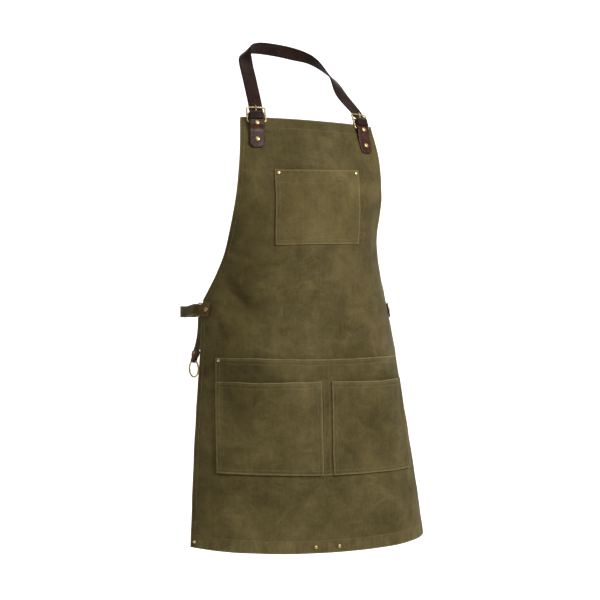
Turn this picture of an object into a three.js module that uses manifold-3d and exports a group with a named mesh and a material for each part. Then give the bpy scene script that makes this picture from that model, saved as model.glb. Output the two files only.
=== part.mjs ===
// Canvas work apron in the shape it takes when worn: an olive waxed canvas panel with pockets, a dark
// leather neck strap on two brass buckles, a canvas waist strap and a ring hanging at the right side.
// Millimetres, +Z up. The front faces -Y, +X is the wearer's left, and the origin is at the nape of the
// neck, on the inner face of the strap that the apron hangs by.

import * as THREE from 'three';
import { mergeVertices } from 'three/addons/utils/BufferGeometryUtils.js';
import Module from 'manifold-3d';

const wasm = await Module();
wasm.setup();

// Wall thicknesses and the clearance between pieces
const CANVAS = 1.6;
const LEATHER = 2.2;
const STRAP_CANVAS = 2.2;
const GAP = 0.3;
const LAYER_GAP = 0.6;

// Body panel: heights are measured down from the nape, half-widths along the cloth from its centre line
const BIB_TOP = -155;
const BIB_LEAN = 1.8;
const ARMHOLE_END = -498;
const HEM_SIDE = -957;
const HEM_DIP = 11.5;
const HEM_LEAN = 4.8;
const BIB_HALF = 141;
const ARMHOLE_FLARE = 50;
const ARMHOLE_SWEEP = 50;
const WAIST_HALF = 241;
const HEM_HALF = 266;
const EDGE_CROWDING = 0.4;
const PANEL_COLUMNS = 22;
const BIB_ROWS = 12;
const SKIRT_ROWS = 12;
const NAPE_BEHIND_AXIS = 68.7;
const NAPE_HEIGHT = -3.2;

// Horizontal sections of the worn cloth. front is how far the centre line stands before the body axis,
// bend and curl are the degrees that the cloth has turned back at FORM_HALF from the centre line: bend
// grows evenly along the cloth, and curl with the cube, so it turns the outer part.
const FORM_HALF = 270;
const TURN_STEPS = 30;
const FRAME_REACH = 2;
const WORN_FORM = [
  { z: -125, front: 43, bend: 31, curl: 53 },
  { z: -155, front: 54, bend: 31, curl: 53 },
  { z: -225, front: 79, bend: 33, curl: 51 },
  { z: -300, front: 95.5, bend: 47, curl: 48 },
  { z: -390, front: 98, bend: 66, curl: 41 },
  { z: -520, front: 101, bend: 55, curl: 28 },
  { z: -610, front: 111, bend: 48, curl: 25 },
  { z: -800, front: 121, bend: 30, curl: 29 },
  { z: -970, front: 131, bend: 17, curl: 37 },
];

// Soft folds and dents of the panel: centre, half-width, half-length and how far they push out
const FOLDS = [
  { u: 148, z: -352, across: 16, along: 70, push: -2.5 },
  { u: 175, z: -355, across: 34, along: 62, push: -3.5 },
  { u: -178, z: -452, across: 22, along: 60, push: -3 },
  { u: -160, z: -512, across: 19, along: 22, push: -4 },
  { u: -194, z: -541, across: 16, along: 18, push: 2.5 },
  { u: -208, z: -574, across: 14, along: 24, push: -3.5 },
  { u: -60, z: -505, across: 60, along: 26, push: -2.5 },
  { u: 75, z: -470, across: 70, along: 22, push: 2 },
  { u: 268, z: -760, across: 42, along: 190, push: -4.5 },
  { u: 150, z: -880, across: 26, along: 90, push: 4 },
  { u: -140, z: -890, across: 30, along: 85, push: -4 },
];

// Pockets: outline on the cloth, gape is how far the mouth stands open. The chest pocket sits askew and
// rises towards the left side. The foot of the lower pockets rises towards the right side.
const CHEST_POCKET = { from: -90, to: 86, top: -255, bottom: -396, rise: 6, gape: 7 };
const LOWER_OUTER = 210;
const LOWER_BOTTOM = -826;
const LOWER_FOOT_RISE = 9;
const BACK_POCKET = { top: -607, gape: 8 };
const FRONT_POCKET = { inner: 10.5, top: -651, gape: 10 };
const SEAM_SHARE = 0.07;
const POCKET_COLUMNS = 10;
const POCKET_ROWS = 6;

// Neck tabs, buckles and strap
const TAB_U = 111;
const TAB_BAR_Z = -150;
const TAB_END_Z = -214;
const TAB_WIDTH = 30;
const TAB_END_RADIUS = 11;
const TAB_RIVET_Z = [-167.5, -198];
const TAB_RESTS_BELOW = 32;
const TAB_LEAVES_BELOW = 19;
const TAB_FOLD_OPENS = 3;
const TAB_BACK_LIFT = -1.3;
const BUCKLE_WIDTH = 38;
const BUCKLE_HEIGHT = 33.6;
const BUCKLE_CORNER = 5;
const WIRE = 3.2;
const WIRE_BEVEL = 0.8;
const WINDOW_CORNER = 2;
const BAR_PITCH = (BUCKLE_HEIGHT - WIRE) / 2;
const BAR_CLEAR = 0.4;
const BAR_BORE = 2.4;
const TAB_BAR_LIFT = CANVAS + WIRE / 2 + BAR_CLEAR;
const PRONG_WIDTH = 2.6;
const PRONG_THICK = 1.6;
const PRONG_TIP = 1;
const FOLD_CROWDING = 1.7;
const FOLD_TURNS = 6;
const NECK_STRAP_WIDTH = 26.5;
const STRAP_TAIL = 11;

// Route of the neck strap's middle between the buckles, with the way its outer face looks
const NECK_ROUTE = [
  { x: -106, y: 1, z: -76, nx: -0.27, ny: -0.88, nz: 0.4 },
  { x: -104, y: 24, z: -42, nx: -0.34, ny: -0.8, nz: 0.5 },
  { x: -100, y: 38, z: -21, nx: -0.62, ny: -0.3, nz: 0.72 },
  { x: -90, y: 49, z: -8, nx: -0.6, ny: 0.25, nz: 0.76 },
  { x: -68, y: 57, z: -2, nx: -0.36, ny: 0.64, nz: 0.68 },
  { x: -20, y: 67, z: -1, nx: -0.08, ny: 0.78, nz: 0.62 },
  { x: 20, y: 71, z: -5, nx: 0.1, ny: 0.76, nz: 0.64 },
  { x: 52, y: 70, z: -12, nx: 0.44, ny: 0.42, nz: 0.79 },
  { x: 70, y: 64, z: -23, nx: 0.64, ny: 0.08, nz: 0.76 },
  { x: 82, y: 51, z: -39, nx: 0.66, ny: -0.25, nz: 0.7 },
  { x: 91, y: 35, z: -57, nx: 0.46, ny: -0.54, nz: 0.7 },
  { x: 91, y: 7, z: -91, nx: 0.06, ny: -0.79, nz: 0.6 },
];
const NECK_STEPS = 36;

// Waist patches, loops and strap
const WAIST_Z = -517;
const PATCH_REACH = 21.5;
const PATCH_HEIGHT = 30;
const PATCH_NECK = 20;
const PATCH_BAR_OUT = 6;
const PATCH_BAR_LIFT = CANVAS / 2;
const PATCH_TAPER_FROM = 10;
const PATCH_TAPER_TO = 4;
const PATCH_FOLD_OPENS = 6;
const PATCH_BORE = 2.2;
const PATCH_CLEAR = 1;
const PATCH_RIVET_IN = 14;
const WAIST_RING_LENGTH = 9;
const WAIST_RING_HEIGHT = 29;
const RING_BAR = 2.6;
const RING_CORNER = 3;
const RING_INNER_CORNER = 1.5;
const WAIST_STRAP_WIDTH = 22;
const WAIST_TAIL = 34;
const WAIST_STEPS = 20;
const WAIST_LOOP = { halfWidth: 208, back: 142, corner: 44, drop: 3.5 };
const WAIST_LEAD = 9;
const HIP = { inset: 2, y: 78 };

// Hanging strap with its ring
const HANGER_WIDTH = 20;
const HANGER_THICK = 2;
const HANGER_TOP_Z = -504;
const HANGER_FREE_Z = -534;
const HANGER_U = -250;
const HANGER_LIFT = -4.9;
const HANGER_END_LEATHER = 1.8;
const HANGER_END_TOP = 19;
const HANGER_END_TAPER = 11;
const HANGER_END_NECK = 10.4;
const HANGER_END_BORE = 3;
const HANGER_LEAN = 17;
const HANGER_STEPS = 12;
const HANGER_RIVET_UP = 14;
const RING_PIVOT = { x: -210, y: 27, z: -613 };
const RING_TURN = 78;
const RING_RADIUS = 15.7;
const RING_WIRE = 1.7;
const RING_SIDES = 6;
const RING_STEPS = 20;

// Rivets: shank radius, sides, and the thickness of the caps
const SHANK = 1.5;
const RIVET_SIDES = 8;
const HOLE_SIDES = 6;
const HOLE_DEPTH = 60;
const CAP_RISE = 1.7;
const DOME_SHOULDER = 0.75;
const BACK_CAP = 0.8;
const BACK_CAP_RADIUS = 3.2;
const POCKET_CAP = 3.4;
const TAB_CAP = 4.6;
const PATCH_CAP = 4.2;
const HANGER_CAP = 2.6;
const HEM_RIVET_UP = 11;
const HEM_RIVET_MID_RIGHT = -28.5;
const HEM_RIVET_MID_LEFT = 19.5;
const HEM_RIVET_IN = 9;
const POCKET_RIVET_IN = 7;
const LOWER_RIVET_DOWN = 4.5;
const POCKET_RIVET_FACE = 2 * CANVAS + LAYER_GAP;

const canvas = new THREE.MeshStandardMaterial({ color: 0x5a5438, roughness: 0.85, metalness: 0 });
const webbing = new THREE.MeshStandardMaterial({ color: 0x655f45, roughness: 0.9, metalness: 0 });
const leather = new THREE.MeshStandardMaterial({ color: 0x3a2723, roughness: 0.5, metalness: 0 });
const patchLeather = new THREE.MeshStandardMaterial({ color: 0x5b4630, roughness: 0.6, metalness: 0 });
const brass = new THREE.MeshStandardMaterial({ color: 0xb89a5a, roughness: 0.3, metalness: 1 });

const SIDES = [
  { name: 'right', sign: -1 },
  { name: 'left', sign: 1 },
];
const UP = new THREE.Vector3(0, 0, 1);
const { clamp, lerp, degToRad, smoothstep } = THREE.MathUtils;

// Solids: welded triangle meshes, and the cuts between them

function weld(geometry) {
  const bare = geometry.clone();
  bare.deleteAttribute('normal');
  bare.deleteAttribute('uv');
  const merged = mergeVertices(bare);
  const kept = [];
  const corners = merged.index.array;
  for (let i = 0; i < corners.length; i += 3) {
    const [a, b, c] = corners.slice(i, i + 3);
    if (a !== b && b !== c && c !== a) kept.push(a, b, c);
  }
  merged.setIndex(kept);
  return merged;
}

function toSolid(geometry) {
  const merged = weld(geometry);
  return new wasm.Manifold(new wasm.Mesh({
    numProp: 3,
    vertProperties: new Float32Array(merged.attributes.position.array),
    triVerts: new Uint32Array(merged.index.array),
  }));
}

function toGeometry(solid) {
  const { vertProperties, triVerts } = solid.getMesh();
  const geometry = new THREE.BufferGeometry();
  geometry.setAttribute('position', new THREE.BufferAttribute(vertProperties, 3));
  geometry.setIndex(new THREE.BufferAttribute(triVerts, 1));
  return geometry;
}

function cut(geometry, tools) {
  return toGeometry(tools.reduce((solid, tool) => solid.subtract(toSolid(tool)), toSolid(geometry)));
}

function trim(geometry, outline) {
  return toGeometry(toSolid(geometry).intersect(toSolid(outline)));
}

// A closed wall over a grid: pointAt(p, q, side) gives the point at p across and q down, side 0 or 1
function wall(columns, rows, pointAt) {
  const stride = columns + 1;
  const layer = stride * (rows + 1);
  const points = [];
  for (const side of [0, 1]) {
    for (let j = 0; j <= rows; j += 1) {
      for (let i = 0; i <= columns; i += 1) points.push(pointAt(i / columns, j / rows, side));
    }
  }
  const index = [];
  const quad = (a, b, c, d) => index.push(a, b, c, a, c, d);
  for (let j = 0; j < rows; j += 1) {
    for (let i = 0; i < columns; i += 1) {
      const inner = j * stride + i;
      const outer = inner + layer;
      quad(outer, outer + stride, outer + stride + 1, outer + 1);
      quad(inner, inner + 1, inner + stride + 1, inner + stride);
    }
  }
  for (let i = 0; i < columns; i += 1) {
    const foot = rows * stride + i;
    quad(i, i + layer, i + layer + 1, i + 1);
    quad(foot, foot + 1, foot + layer + 1, foot + layer);
  }
  for (let j = 0; j < rows; j += 1) {
    const near = j * stride;
    const far = near + columns;
    quad(near, near + stride, near + stride + layer, near + layer);
    quad(far, far + layer, far + stride + layer, far + stride);
  }
  return new THREE.BufferGeometry().setFromPoints(points).setIndex(index);
}

// A flat band swept along stations, each with its middle point and the way its outer face looks
function ribbon(stations, width, thickness) {
  const last = stations.length - 1;
  const frames = stations.map(({ point, face }, i) => {
    const before = stations[Math.max(i - 1, 0)].point;
    const after = stations[Math.min(i + 1, last)].point;
    const along = after.clone().sub(before).normalize();
    const across = face.clone().cross(along).normalize();
    const out = along.clone().cross(across);
    return { point, across, out };
  });
  return wall(1, last, (p, q, side) => {
    const { point, across, out } = frames[Math.round(q * last)];
    return point.clone()
      .addScaledVector(across, (p - 0.5) * width)
      .addScaledVector(out, (side - 0.5) * thickness);
  });
}

// A shape extruded evenly to both sides of its plane
function plate(shape, depth, options = {}) {
  const settings = { depth, bevelEnabled: false, curveSegments: 5, ...options };
  const geometry = new THREE.ExtrudeGeometry(shape, settings);
  return geometry.translate(0, 0, -depth / 2);
}

function roundedRectangle(width, height, radius, Kind = THREE.Shape) {
  const w = width / 2 - radius;
  const h = height / 2 - radius;
  const shape = new Kind();
  shape.absarc(w, h, radius, 0, Math.PI / 2);
  shape.absarc(-w, h, radius, Math.PI / 2, Math.PI);
  shape.absarc(-w, -h, radius, Math.PI, 1.5 * Math.PI);
  shape.absarc(w, -h, radius, 1.5 * Math.PI, 2 * Math.PI);
  return shape;
}

function place(geometry, { origin, x, y, z }) {
  return geometry.applyMatrix4(new THREE.Matrix4().makeBasis(x, y, z).setPosition(origin));
}

// The worn cloth: points, outward normals and tangents at u along the cloth and height z

const form = new THREE.CubicInterpolant(
  WORN_FORM.map((row) => -row.z),
  WORN_FORM.flatMap((row) => [row.front, row.bend, row.curl]),
  3,
);

function foldPush(u, z) {
  return FOLDS.reduce((push, fold) => {
    const across = (u - fold.u) / fold.across;
    const along = (z - fold.z) / fold.along;
    return push + fold.push * Math.exp(-(across ** 2) - along ** 2);
  }, 0);
}

function clothPoint(u, z) {
  const [front, bend, curl] = form.evaluate(-z);
  const step = Math.abs(u) / TURN_STEPS;
  const turnAt = (s) => degToRad(bend * (s / FORM_HALF) + curl * (s / FORM_HALF) ** 3);
  let x = 0;
  let y = -front;
  for (let i = 0; i < TURN_STEPS; i += 1) {
    const turn = turnAt((i + 0.5) * step);
    x += Math.cos(turn) * step;
    y += Math.sin(turn) * step;
  }
  const push = foldPush(u, z);
  const turn = turnAt(Math.abs(u));
  return new THREE.Vector3(Math.sign(u) * (x + push * Math.sin(turn)), y - push * Math.cos(turn), z);
}

function clothFrame(u, z) {
  const across = clothPoint(u + FRAME_REACH, z).sub(clothPoint(u - FRAME_REACH, z)).normalize();
  const up = clothPoint(u, z + FRAME_REACH).sub(clothPoint(u, z - FRAME_REACH)).normalize();
  const out = across.clone().cross(up).normalize();
  return { across, up: out.clone().cross(across), out };
}

function onCloth(u, z, lift) {
  return clothPoint(u, z).addScaledVector(clothFrame(u, z).out, lift);
}

function halfWidth(z) {
  if (z > ARMHOLE_END) {
    const t = (BIB_TOP - z) / (BIB_TOP - ARMHOLE_END);
    return BIB_HALF + ARMHOLE_FLARE * t + ARMHOLE_SWEEP * t ** 4;
  }
  return lerp(WAIST_HALF, HEM_HALF, (ARMHOLE_END - z) / (ARMHOLE_END - HEM_SIDE));
}

function hemHeight(u) {
  const share = u / HEM_HALF;
  return HEM_SIDE - HEM_DIP * (1 - share ** 2) - HEM_LEAN * share;
}

// How far the pockets stand off the cloth

// A pocket lies flat along its sewn edges and stands open at its mouth: p across it, q down from the mouth
function gapeAt(gape, p, q) {
  const across = clamp((p - SEAM_SHARE) / (1 - 2 * SEAM_SHARE), 0, 1);
  const down = clamp(q / (1 - SEAM_SHARE), 0, 1);
  return gape * Math.sin(Math.PI * across) * (1 - down);
}

function lowerFoot(u) {
  return LOWER_BOTTOM + LOWER_FOOT_RISE * Math.max(-u, 0) / LOWER_OUTER;
}

function lowerDepth(top, u, z) {
  return (top - z) / (top - lowerFoot(u));
}

function backPocketFace(u, z) {
  const depth = lowerDepth(BACK_POCKET.top, u, z);
  return CANVAS + LAYER_GAP + gapeAt(BACK_POCKET.gape, Math.abs(u) / LOWER_OUTER, depth);
}

function frontPocketFace(u, z) {
  const { inner, top, gape } = FRONT_POCKET;
  const p = (Math.abs(u) - inner) / (LOWER_OUTER - inner);
  return backPocketFace(u, z) + CANVAS + LAYER_GAP + gapeAt(gape, p, lowerDepth(top, u, z));
}

function chestShare(u) {
  return (u - CHEST_POCKET.from) / (CHEST_POCKET.to - CHEST_POCKET.from);
}

function chestHead(u) {
  return CHEST_POCKET.top + CHEST_POCKET.rise * chestShare(u);
}

function chestFoot(u) {
  return CHEST_POCKET.bottom + CHEST_POCKET.rise * chestShare(u);
}

function chestPocketFace(u, z) {
  const depth = (chestHead(u) - z) / (chestHead(u) - chestFoot(u));
  return CANVAS + LAYER_GAP + gapeAt(CHEST_POCKET.gape, chestShare(u), depth);
}

function pocketWall(columns, { from, to, head, foot }, face) {
  return wall(columns, POCKET_ROWS, (p, q, side) => {
    const u = lerp(from, to, p);
    const z = lerp(head(u), foot(u), q);
    return onCloth(u, z, face(u, z) + side * CANVAS);
  });
}

// Rivets: a domed cap in front, a shank through the layers and a flat cap behind

function rivetGeometry(cap, front, back) {
  const profile = [
    [0, back - BACK_CAP],
    [BACK_CAP_RADIUS, back - BACK_CAP],
    [BACK_CAP_RADIUS, back],
    [SHANK, back],
    [SHANK, front],
    [cap, front],
    [cap * DOME_SHOULDER, front + CAP_RISE * DOME_SHOULDER],
    [0, front + CAP_RISE],
  ];
  return new THREE.LatheGeometry(profile.map(([r, h]) => new THREE.Vector2(r, h)), RIVET_SIDES);
}

// A rivet at u, z on the cloth, with the lifts of the outer face before it and the inner face behind it
function clothRivet(name, u, z, cap, outer, inner) {
  const { across, out } = clothFrame(u, z);
  const frame = { origin: clothPoint(u, z), x: across, y: out, z: across.clone().cross(out) };
  return {
    name,
    frame,
    geometry: place(rivetGeometry(cap, outer + LAYER_GAP, inner - LAYER_GAP), frame),
  };
}

function rivetHoles(rivets) {
  return rivets.map(({ frame }) => {
    const hole = new THREE.CylinderGeometry(SHANK + GAP, SHANK + GAP, HOLE_DEPTH, HOLE_SIDES);
    return place(hole, frame);
  });
}

// A leather strip folded round a bar: the profile of its two layers in the plane of the fold.
// front(t) and back(t) give the inner faces' heights t before the bar, arc is the fold's inner radius.
// The steps crowd towards the fold, where the layers part.
function foldedProfile({ start, steps, arc, thickness, front, back, toPlane, barHeight }) {
  const ts = Array.from({ length: steps + 1 }, (_, i) => start * (1 - i / steps) ** FOLD_CROWDING);
  const layer = (heights, extra) => ts.map((t) => toPlane(t, heights(t) + extra));
  const fold = (radius) => Array.from({ length: FOLD_TURNS - 1 }, (_, i) => {
    const angle = Math.PI * ((i + 1) / FOLD_TURNS);
    return toPlane(radius * Math.sin(angle), barHeight + radius * Math.cos(angle));
  });
  return new THREE.Shape([
    ...layer(front, thickness),
    ...fold(arc + thickness),
    ...layer(back, -thickness).reverse(),
    ...layer(back, 0),
    ...fold(arc).reverse(),
    ...layer(front, 0).reverse(),
  ]);
}

// Neck tabs: the canvas lies between the two layers, and the fold stands just above the bib's edge

function neckTabFrame(sign) {
  const u = sign * TAB_U;
  const { across, up, out } = clothFrame(u, TAB_BAR_Z);
  return { u, across, up, out, origin: onCloth(u, TAB_BAR_Z, TAB_BAR_LIFT) };
}

// Where the tab's middle line meets the cloth, t up from the bar
function tabSpot(sign, t) {
  const { u, across, up, origin } = neckTabFrame(sign);
  const z = TAB_BAR_Z + t * up.z;
  return { u: u - clothPoint(u, z).sub(origin).dot(across), z };
}

function tabFront(t) {
  const overBuckle = TAB_BAR_LIFT + BAR_BORE;
  return lerp(CANVAS + BAR_CLEAR, overBuckle, smoothstep(t, -TAB_RESTS_BELOW, -TAB_LEAVES_BELOW));
}

function tabBack(t) {
  return lerp(TAB_BACK_LIFT, TAB_BAR_LIFT - BAR_BORE, smoothstep(t, -TAB_FOLD_OPENS, 0));
}

function neckTab(sign, rivets) {
  const { across, up, out, origin } = neckTabFrame(sign);
  const toPlane = (t, lift) => {
    const spot = tabSpot(sign, t);
    const point = t < 0
      ? onCloth(spot.u, spot.z, lift)
      : origin.clone().addScaledVector(up, t).addScaledVector(out, lift - TAB_BAR_LIFT);
    point.sub(origin);
    return new THREE.Vector2(point.dot(out), point.dot(up));
  };
  const start = (TAB_END_Z - TAB_BAR_Z) / up.z;
  const profile = foldedProfile({
    start,
    steps: 7,
    arc: BAR_BORE,
    thickness: LEATHER,
    front: tabFront,
    back: tabBack,
    toPlane,
    barHeight: TAB_BAR_LIFT,
  });
  const strip = place(plate(profile, TAB_WIDTH), { origin, x: out, y: up, z: across.clone().negate() });
  const face = { x: across, y: up, z: out };
  const reach = 2 * TAB_WIDTH;
  const outline = roundedRectangle(TAB_WIDTH + GAP, 2 * reach, TAB_END_RADIUS);
  const rounded = place(plate(outline, 2 * reach, { curveSegments: 3 }), {
    origin: origin.clone().addScaledVector(up, start + reach),
    ...face,
  });
  const slotDepth = 2 * (BAR_BORE + LEATHER + GAP);
  const slotBox = new THREE.BoxGeometry(PRONG_WIDTH + 2 * GAP, slotDepth, 2 * slotDepth);
  return cut(trim(strip, rounded), [place(slotBox, { origin, ...face }), ...rivetHoles(rivets)]);
}

// Buckles: a rounded frame with a middle bar, and a prong that turns on the bar and lies on the top bar

function bucklePlate() {
  const frame = roundedRectangle(BUCKLE_WIDTH, BUCKLE_HEIGHT, BUCKLE_CORNER);
  const windowHeight = BAR_PITCH - WIRE;
  for (const side of [-1, 1]) {
    const opening = roundedRectangle(BUCKLE_WIDTH - 2 * WIRE, windowHeight, WINDOW_CORNER, THREE.Path);
    const points = opening.getPoints(2).map((p) => new THREE.Vector2(p.x, p.y + side * BAR_PITCH / 2));
    frame.holes.push(new THREE.Path(points));
  }
  return plate(frame, WIRE - 2 * WIRE_BEVEL, {
    bevelEnabled: true,
    bevelSegments: 1,
    bevelThickness: WIRE_BEVEL,
    bevelSize: WIRE_BEVEL,
    bevelOffset: -WIRE_BEVEL,
    curveSegments: 2,
  });
}

function prongShape() {
  const eye = BAR_BORE - GAP;
  const rim = eye + PRONG_THICK;
  const rest = WIRE / 2 + GAP;
  const tip = BAR_PITCH + WIRE;
  const turns = 12;
  const shape = new THREE.Shape();
  shape.moveTo(tip, rest);
  shape.lineTo(tip, rest + PRONG_TIP);
  shape.lineTo(tip - PRONG_THICK, rest + PRONG_THICK);
  for (let i = 0; i <= turns; i += 1) {
    const angle = lerp(Math.PI / 2, 2 * Math.PI + Math.asin(rest / rim), i / turns);
    shape.lineTo(rim * Math.cos(angle), rim * Math.sin(angle));
  }
  const hole = new THREE.Path();
  hole.absarc(0, 0, eye, 0, 2 * Math.PI);
  shape.holes.push(hole);
  return shape;
}

// The strap's way through a buckle: behind the top bar, out through the upper window, over the fold
function buckleRun(sign) {
  const { up, out, origin } = neckTabFrame(sign);
  const clear = BAR_CLEAR + LEATHER / 2;
  const overBar = WIRE / 2 + clear;
  const overFold = BAR_BORE + LEATHER + clear;
  const slope = Math.asin((overBar + overFold) / BAR_PITCH);
  const station = (t, k, angle) => ({
    point: origin.clone().addScaledVector(up, t).addScaledVector(out, k),
    face: up.clone().multiplyScalar(Math.sin(angle)).addScaledVector(out, Math.cos(angle)),
  });
  const arcSteps = 4;
  const run = [station(-STRAP_TAIL, overFold, 0)];
  for (let i = 0; i <= arcSteps; i += 1) {
    const angle = slope * (i / arcSteps);
    run.push(station(overFold * Math.sin(angle), overFold * Math.cos(angle), angle));
  }
  for (let i = arcSteps; i >= 0; i -= 1) {
    const angle = slope * (i / arcSteps);
    run.push(station(BAR_PITCH - overBar * Math.sin(angle), -overBar * Math.cos(angle), angle));
  }
  run.push(station(BAR_PITCH + WIRE, -overBar, 0));
  return run;
}

function neckStrap() {
  const right = buckleRun(-1);
  const left = buckleRun(1).reverse();
  const ends = [right.at(-2), right.at(-1), left[0], left[1]];
  const route = NECK_ROUTE.map((row) => ({
    point: new THREE.Vector3(row.x, row.y, row.z),
    face: new THREE.Vector3(row.nx, row.ny, row.nz).normalize(),
  }));
  const knots = [...ends.slice(0, 2), ...route, ...ends.slice(2)];
  const path = new THREE.CatmullRomCurve3(knots.map((knot) => knot.point), false, 'centripetal');
  const faces = new THREE.CatmullRomCurve3(knots.map((knot) => knot.face), false, 'catmullrom', 0.5);
  const first = 1 / (knots.length - 1);
  const loop = [];
  for (let i = 1; i < NECK_STEPS; i += 1) {
    const t = lerp(first, 1 - first, i / NECK_STEPS);
    loop.push({ point: path.getPoint(t), face: faces.getPoint(t).normalize() });
  }
  const band = ribbon([...right, ...loop, ...left], NECK_STRAP_WIDTH, LEATHER);
  const slots = SIDES.map(({ sign }) => {
    const { across, up, out, origin } = neckTabFrame(sign);
    const rest = WIRE / 2 + GAP;
    const length = BAR_PITCH + 2 * WIRE;
    return place(new THREE.BoxGeometry(PRONG_WIDTH + 4 * GAP, length, PRONG_THICK + 4 * GAP), {
      origin: origin.clone().addScaledVector(up, length / 2).addScaledVector(out, rest + PRONG_THICK / 2),
      x: across,
      y: up,
      z: out,
    });
  });
  return cut(band, slots);
}

// Waist patches: folded over the panel's side edge and round the metal loop's inner bar

function waistFrame(sign) {
  const u = sign * (halfWidth(WAIST_Z) + PATCH_BAR_OUT);
  const { across, up, out } = clothFrame(u, WAIST_Z);
  const back = across.clone().multiplyScalar(sign);
  const origin = onCloth(u, WAIST_Z, PATCH_BAR_LIFT);
  return { u, back, up, out, origin, axes: { x: back, y: up, z: back.clone().cross(up) } };
}

function patchFront(t) {
  return lerp(CANVAS + PATCH_CLEAR, PATCH_BAR_LIFT + PATCH_BORE, smoothstep(t, -PATCH_FOLD_OPENS, 0));
}

function patchBack(t) {
  return lerp(-PATCH_CLEAR, PATCH_BAR_LIFT - PATCH_BORE, smoothstep(t, -PATCH_FOLD_OPENS, 0));
}

function waistPatch(sign, rivets) {
  const { u, back, out, origin, axes } = waistFrame(sign);
  const toPlane = (t, lift) => {
    const point = t < 0
      ? onCloth(u + sign * t, WAIST_Z, lift)
      : origin.clone().addScaledVector(back, t).addScaledVector(out, lift - PATCH_BAR_LIFT);
    point.sub(origin);
    return new THREE.Vector2(point.dot(out), point.dot(back));
  };
  const profile = foldedProfile({
    start: -PATCH_REACH - PATCH_BAR_OUT,
    steps: 6,
    arc: PATCH_BORE,
    thickness: LEATHER,
    front: patchFront,
    back: patchBack,
    toPlane,
    barHeight: PATCH_BAR_LIFT,
  });
  const strip = place(plate(profile, PATCH_HEIGHT), {
    origin,
    x: out,
    y: back,
    z: out.clone().cross(back),
  });
  const wide = PATCH_HEIGHT / 2;
  const narrow = PATCH_NECK / 2;
  const outline = new THREE.Shape([
    new THREE.Vector2(-2 * PATCH_REACH, -wide),
    new THREE.Vector2(-PATCH_TAPER_FROM, -wide),
    new THREE.Vector2(-PATCH_TAPER_TO, -narrow),
    new THREE.Vector2(PATCH_REACH, -narrow),
    new THREE.Vector2(PATCH_REACH, narrow),
    new THREE.Vector2(-PATCH_TAPER_TO, narrow),
    new THREE.Vector2(-PATCH_TAPER_FROM, wide),
    new THREE.Vector2(-2 * PATCH_REACH, wide),
  ]);
  const shaped = place(plate(outline, 2 * PATCH_REACH), { origin, ...axes });
  return cut(trim(strip, shaped), rivetHoles(rivets));
}

function waistRing(sign) {
  const { back, origin, axes } = waistFrame(sign);
  const shape = roundedRectangle(WAIST_RING_LENGTH + RING_BAR, WAIST_RING_HEIGHT, RING_CORNER);
  const opening = roundedRectangle(
    WAIST_RING_LENGTH - RING_BAR,
    WAIST_RING_HEIGHT - 2 * RING_BAR,
    RING_INNER_CORNER,
    THREE.Path,
  );
  shape.holes.push(opening);
  const bevel = RING_BAR / 4;
  const ring = plate(shape, RING_BAR - 2 * bevel, {
    bevelEnabled: true,
    bevelSegments: 1,
    bevelThickness: bevel,
    bevelSize: bevel,
    bevelOffset: -bevel,
    curveSegments: 1,
  });
  return place(ring, { origin: origin.clone().addScaledVector(back, WAIST_RING_LENGTH / 2), ...axes });
}

// Waist strap: a loop round the back whose ends turn round the metal loops' outer bars and lie inside it
function waistStrapHalf(sign) {
  const { back, up, out, origin } = waistFrame(sign);
  const bar = origin.clone().addScaledVector(back, WAIST_RING_LENGTH);
  const round = RING_BAR / 2 + LAYER_GAP + STRAP_CANVAS / 2;
  const { halfWidth: half, back: rear, corner, drop } = WAIST_LOOP;
  const knotAt = (x, y) => new THREE.Vector3(sign * x, y, WAIST_Z - drop);
  const start = bar.clone().addScaledVector(out, round);
  const lead = start.clone().addScaledVector(back, WAIST_LEAD);
  const knots = [start, lead, knotAt(half - HIP.inset, HIP.y)];
  const cornerSteps = 4;
  for (let i = 0; i <= cornerSteps; i += 1) {
    const angle = (Math.PI / 2) * (i / cornerSteps);
    knots.push(knotAt(half - corner + corner * Math.cos(angle), rear - corner + corner * Math.sin(angle)));
  }
  knots.push(knotAt((half - corner) / 2, rear), knotAt(0, rear));
  const curve = new THREE.CatmullRomCurve3(knots, false, 'centripetal');
  const length = curve.getLength();
  const main = Array.from({ length: WAIST_STEPS + 1 }, (_, i) => {
    const t = i / WAIST_STEPS;
    const upright = up.clone().lerp(UP, smoothstep(t * length, 0, 2 * WAIST_TAIL)).normalize();
    const face = curve.getTangentAt(t).cross(upright).multiplyScalar(sign).normalize();
    return { point: curve.getPointAt(t), face };
  });
  const pitch = length / WAIST_STEPS;
  const tail = main.slice(0, Math.round(WAIST_TAIL / pitch) + 1).map(({ point, face }, i) => {
    const apart = lerp(2 * round, STRAP_CANVAS + GAP, smoothstep(i * pitch, 0, WAIST_TAIL / 2));
    return { point: point.clone().addScaledVector(face, -apart), face: face.clone().negate() };
  });
  const turnSteps = 8;
  const turn = Array.from({ length: turnSteps - 1 }, (_, i) => {
    const angle = Math.PI * ((i + 1) / turnSteps);
    const face = out.clone().multiplyScalar(-Math.cos(angle)).addScaledVector(back, -Math.sin(angle));
    return { point: bar.clone().addScaledVector(face, round), face };
  });
  return [...tail.reverse(), ...turn, ...main];
}

function waistStrap() {
  const right = waistStrapHalf(-1);
  const left = waistStrapHalf(1).slice(0, -1).reverse();
  return ribbon([...right, ...left], WAIST_STRAP_WIDTH, STRAP_CANVAS);
}

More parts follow.
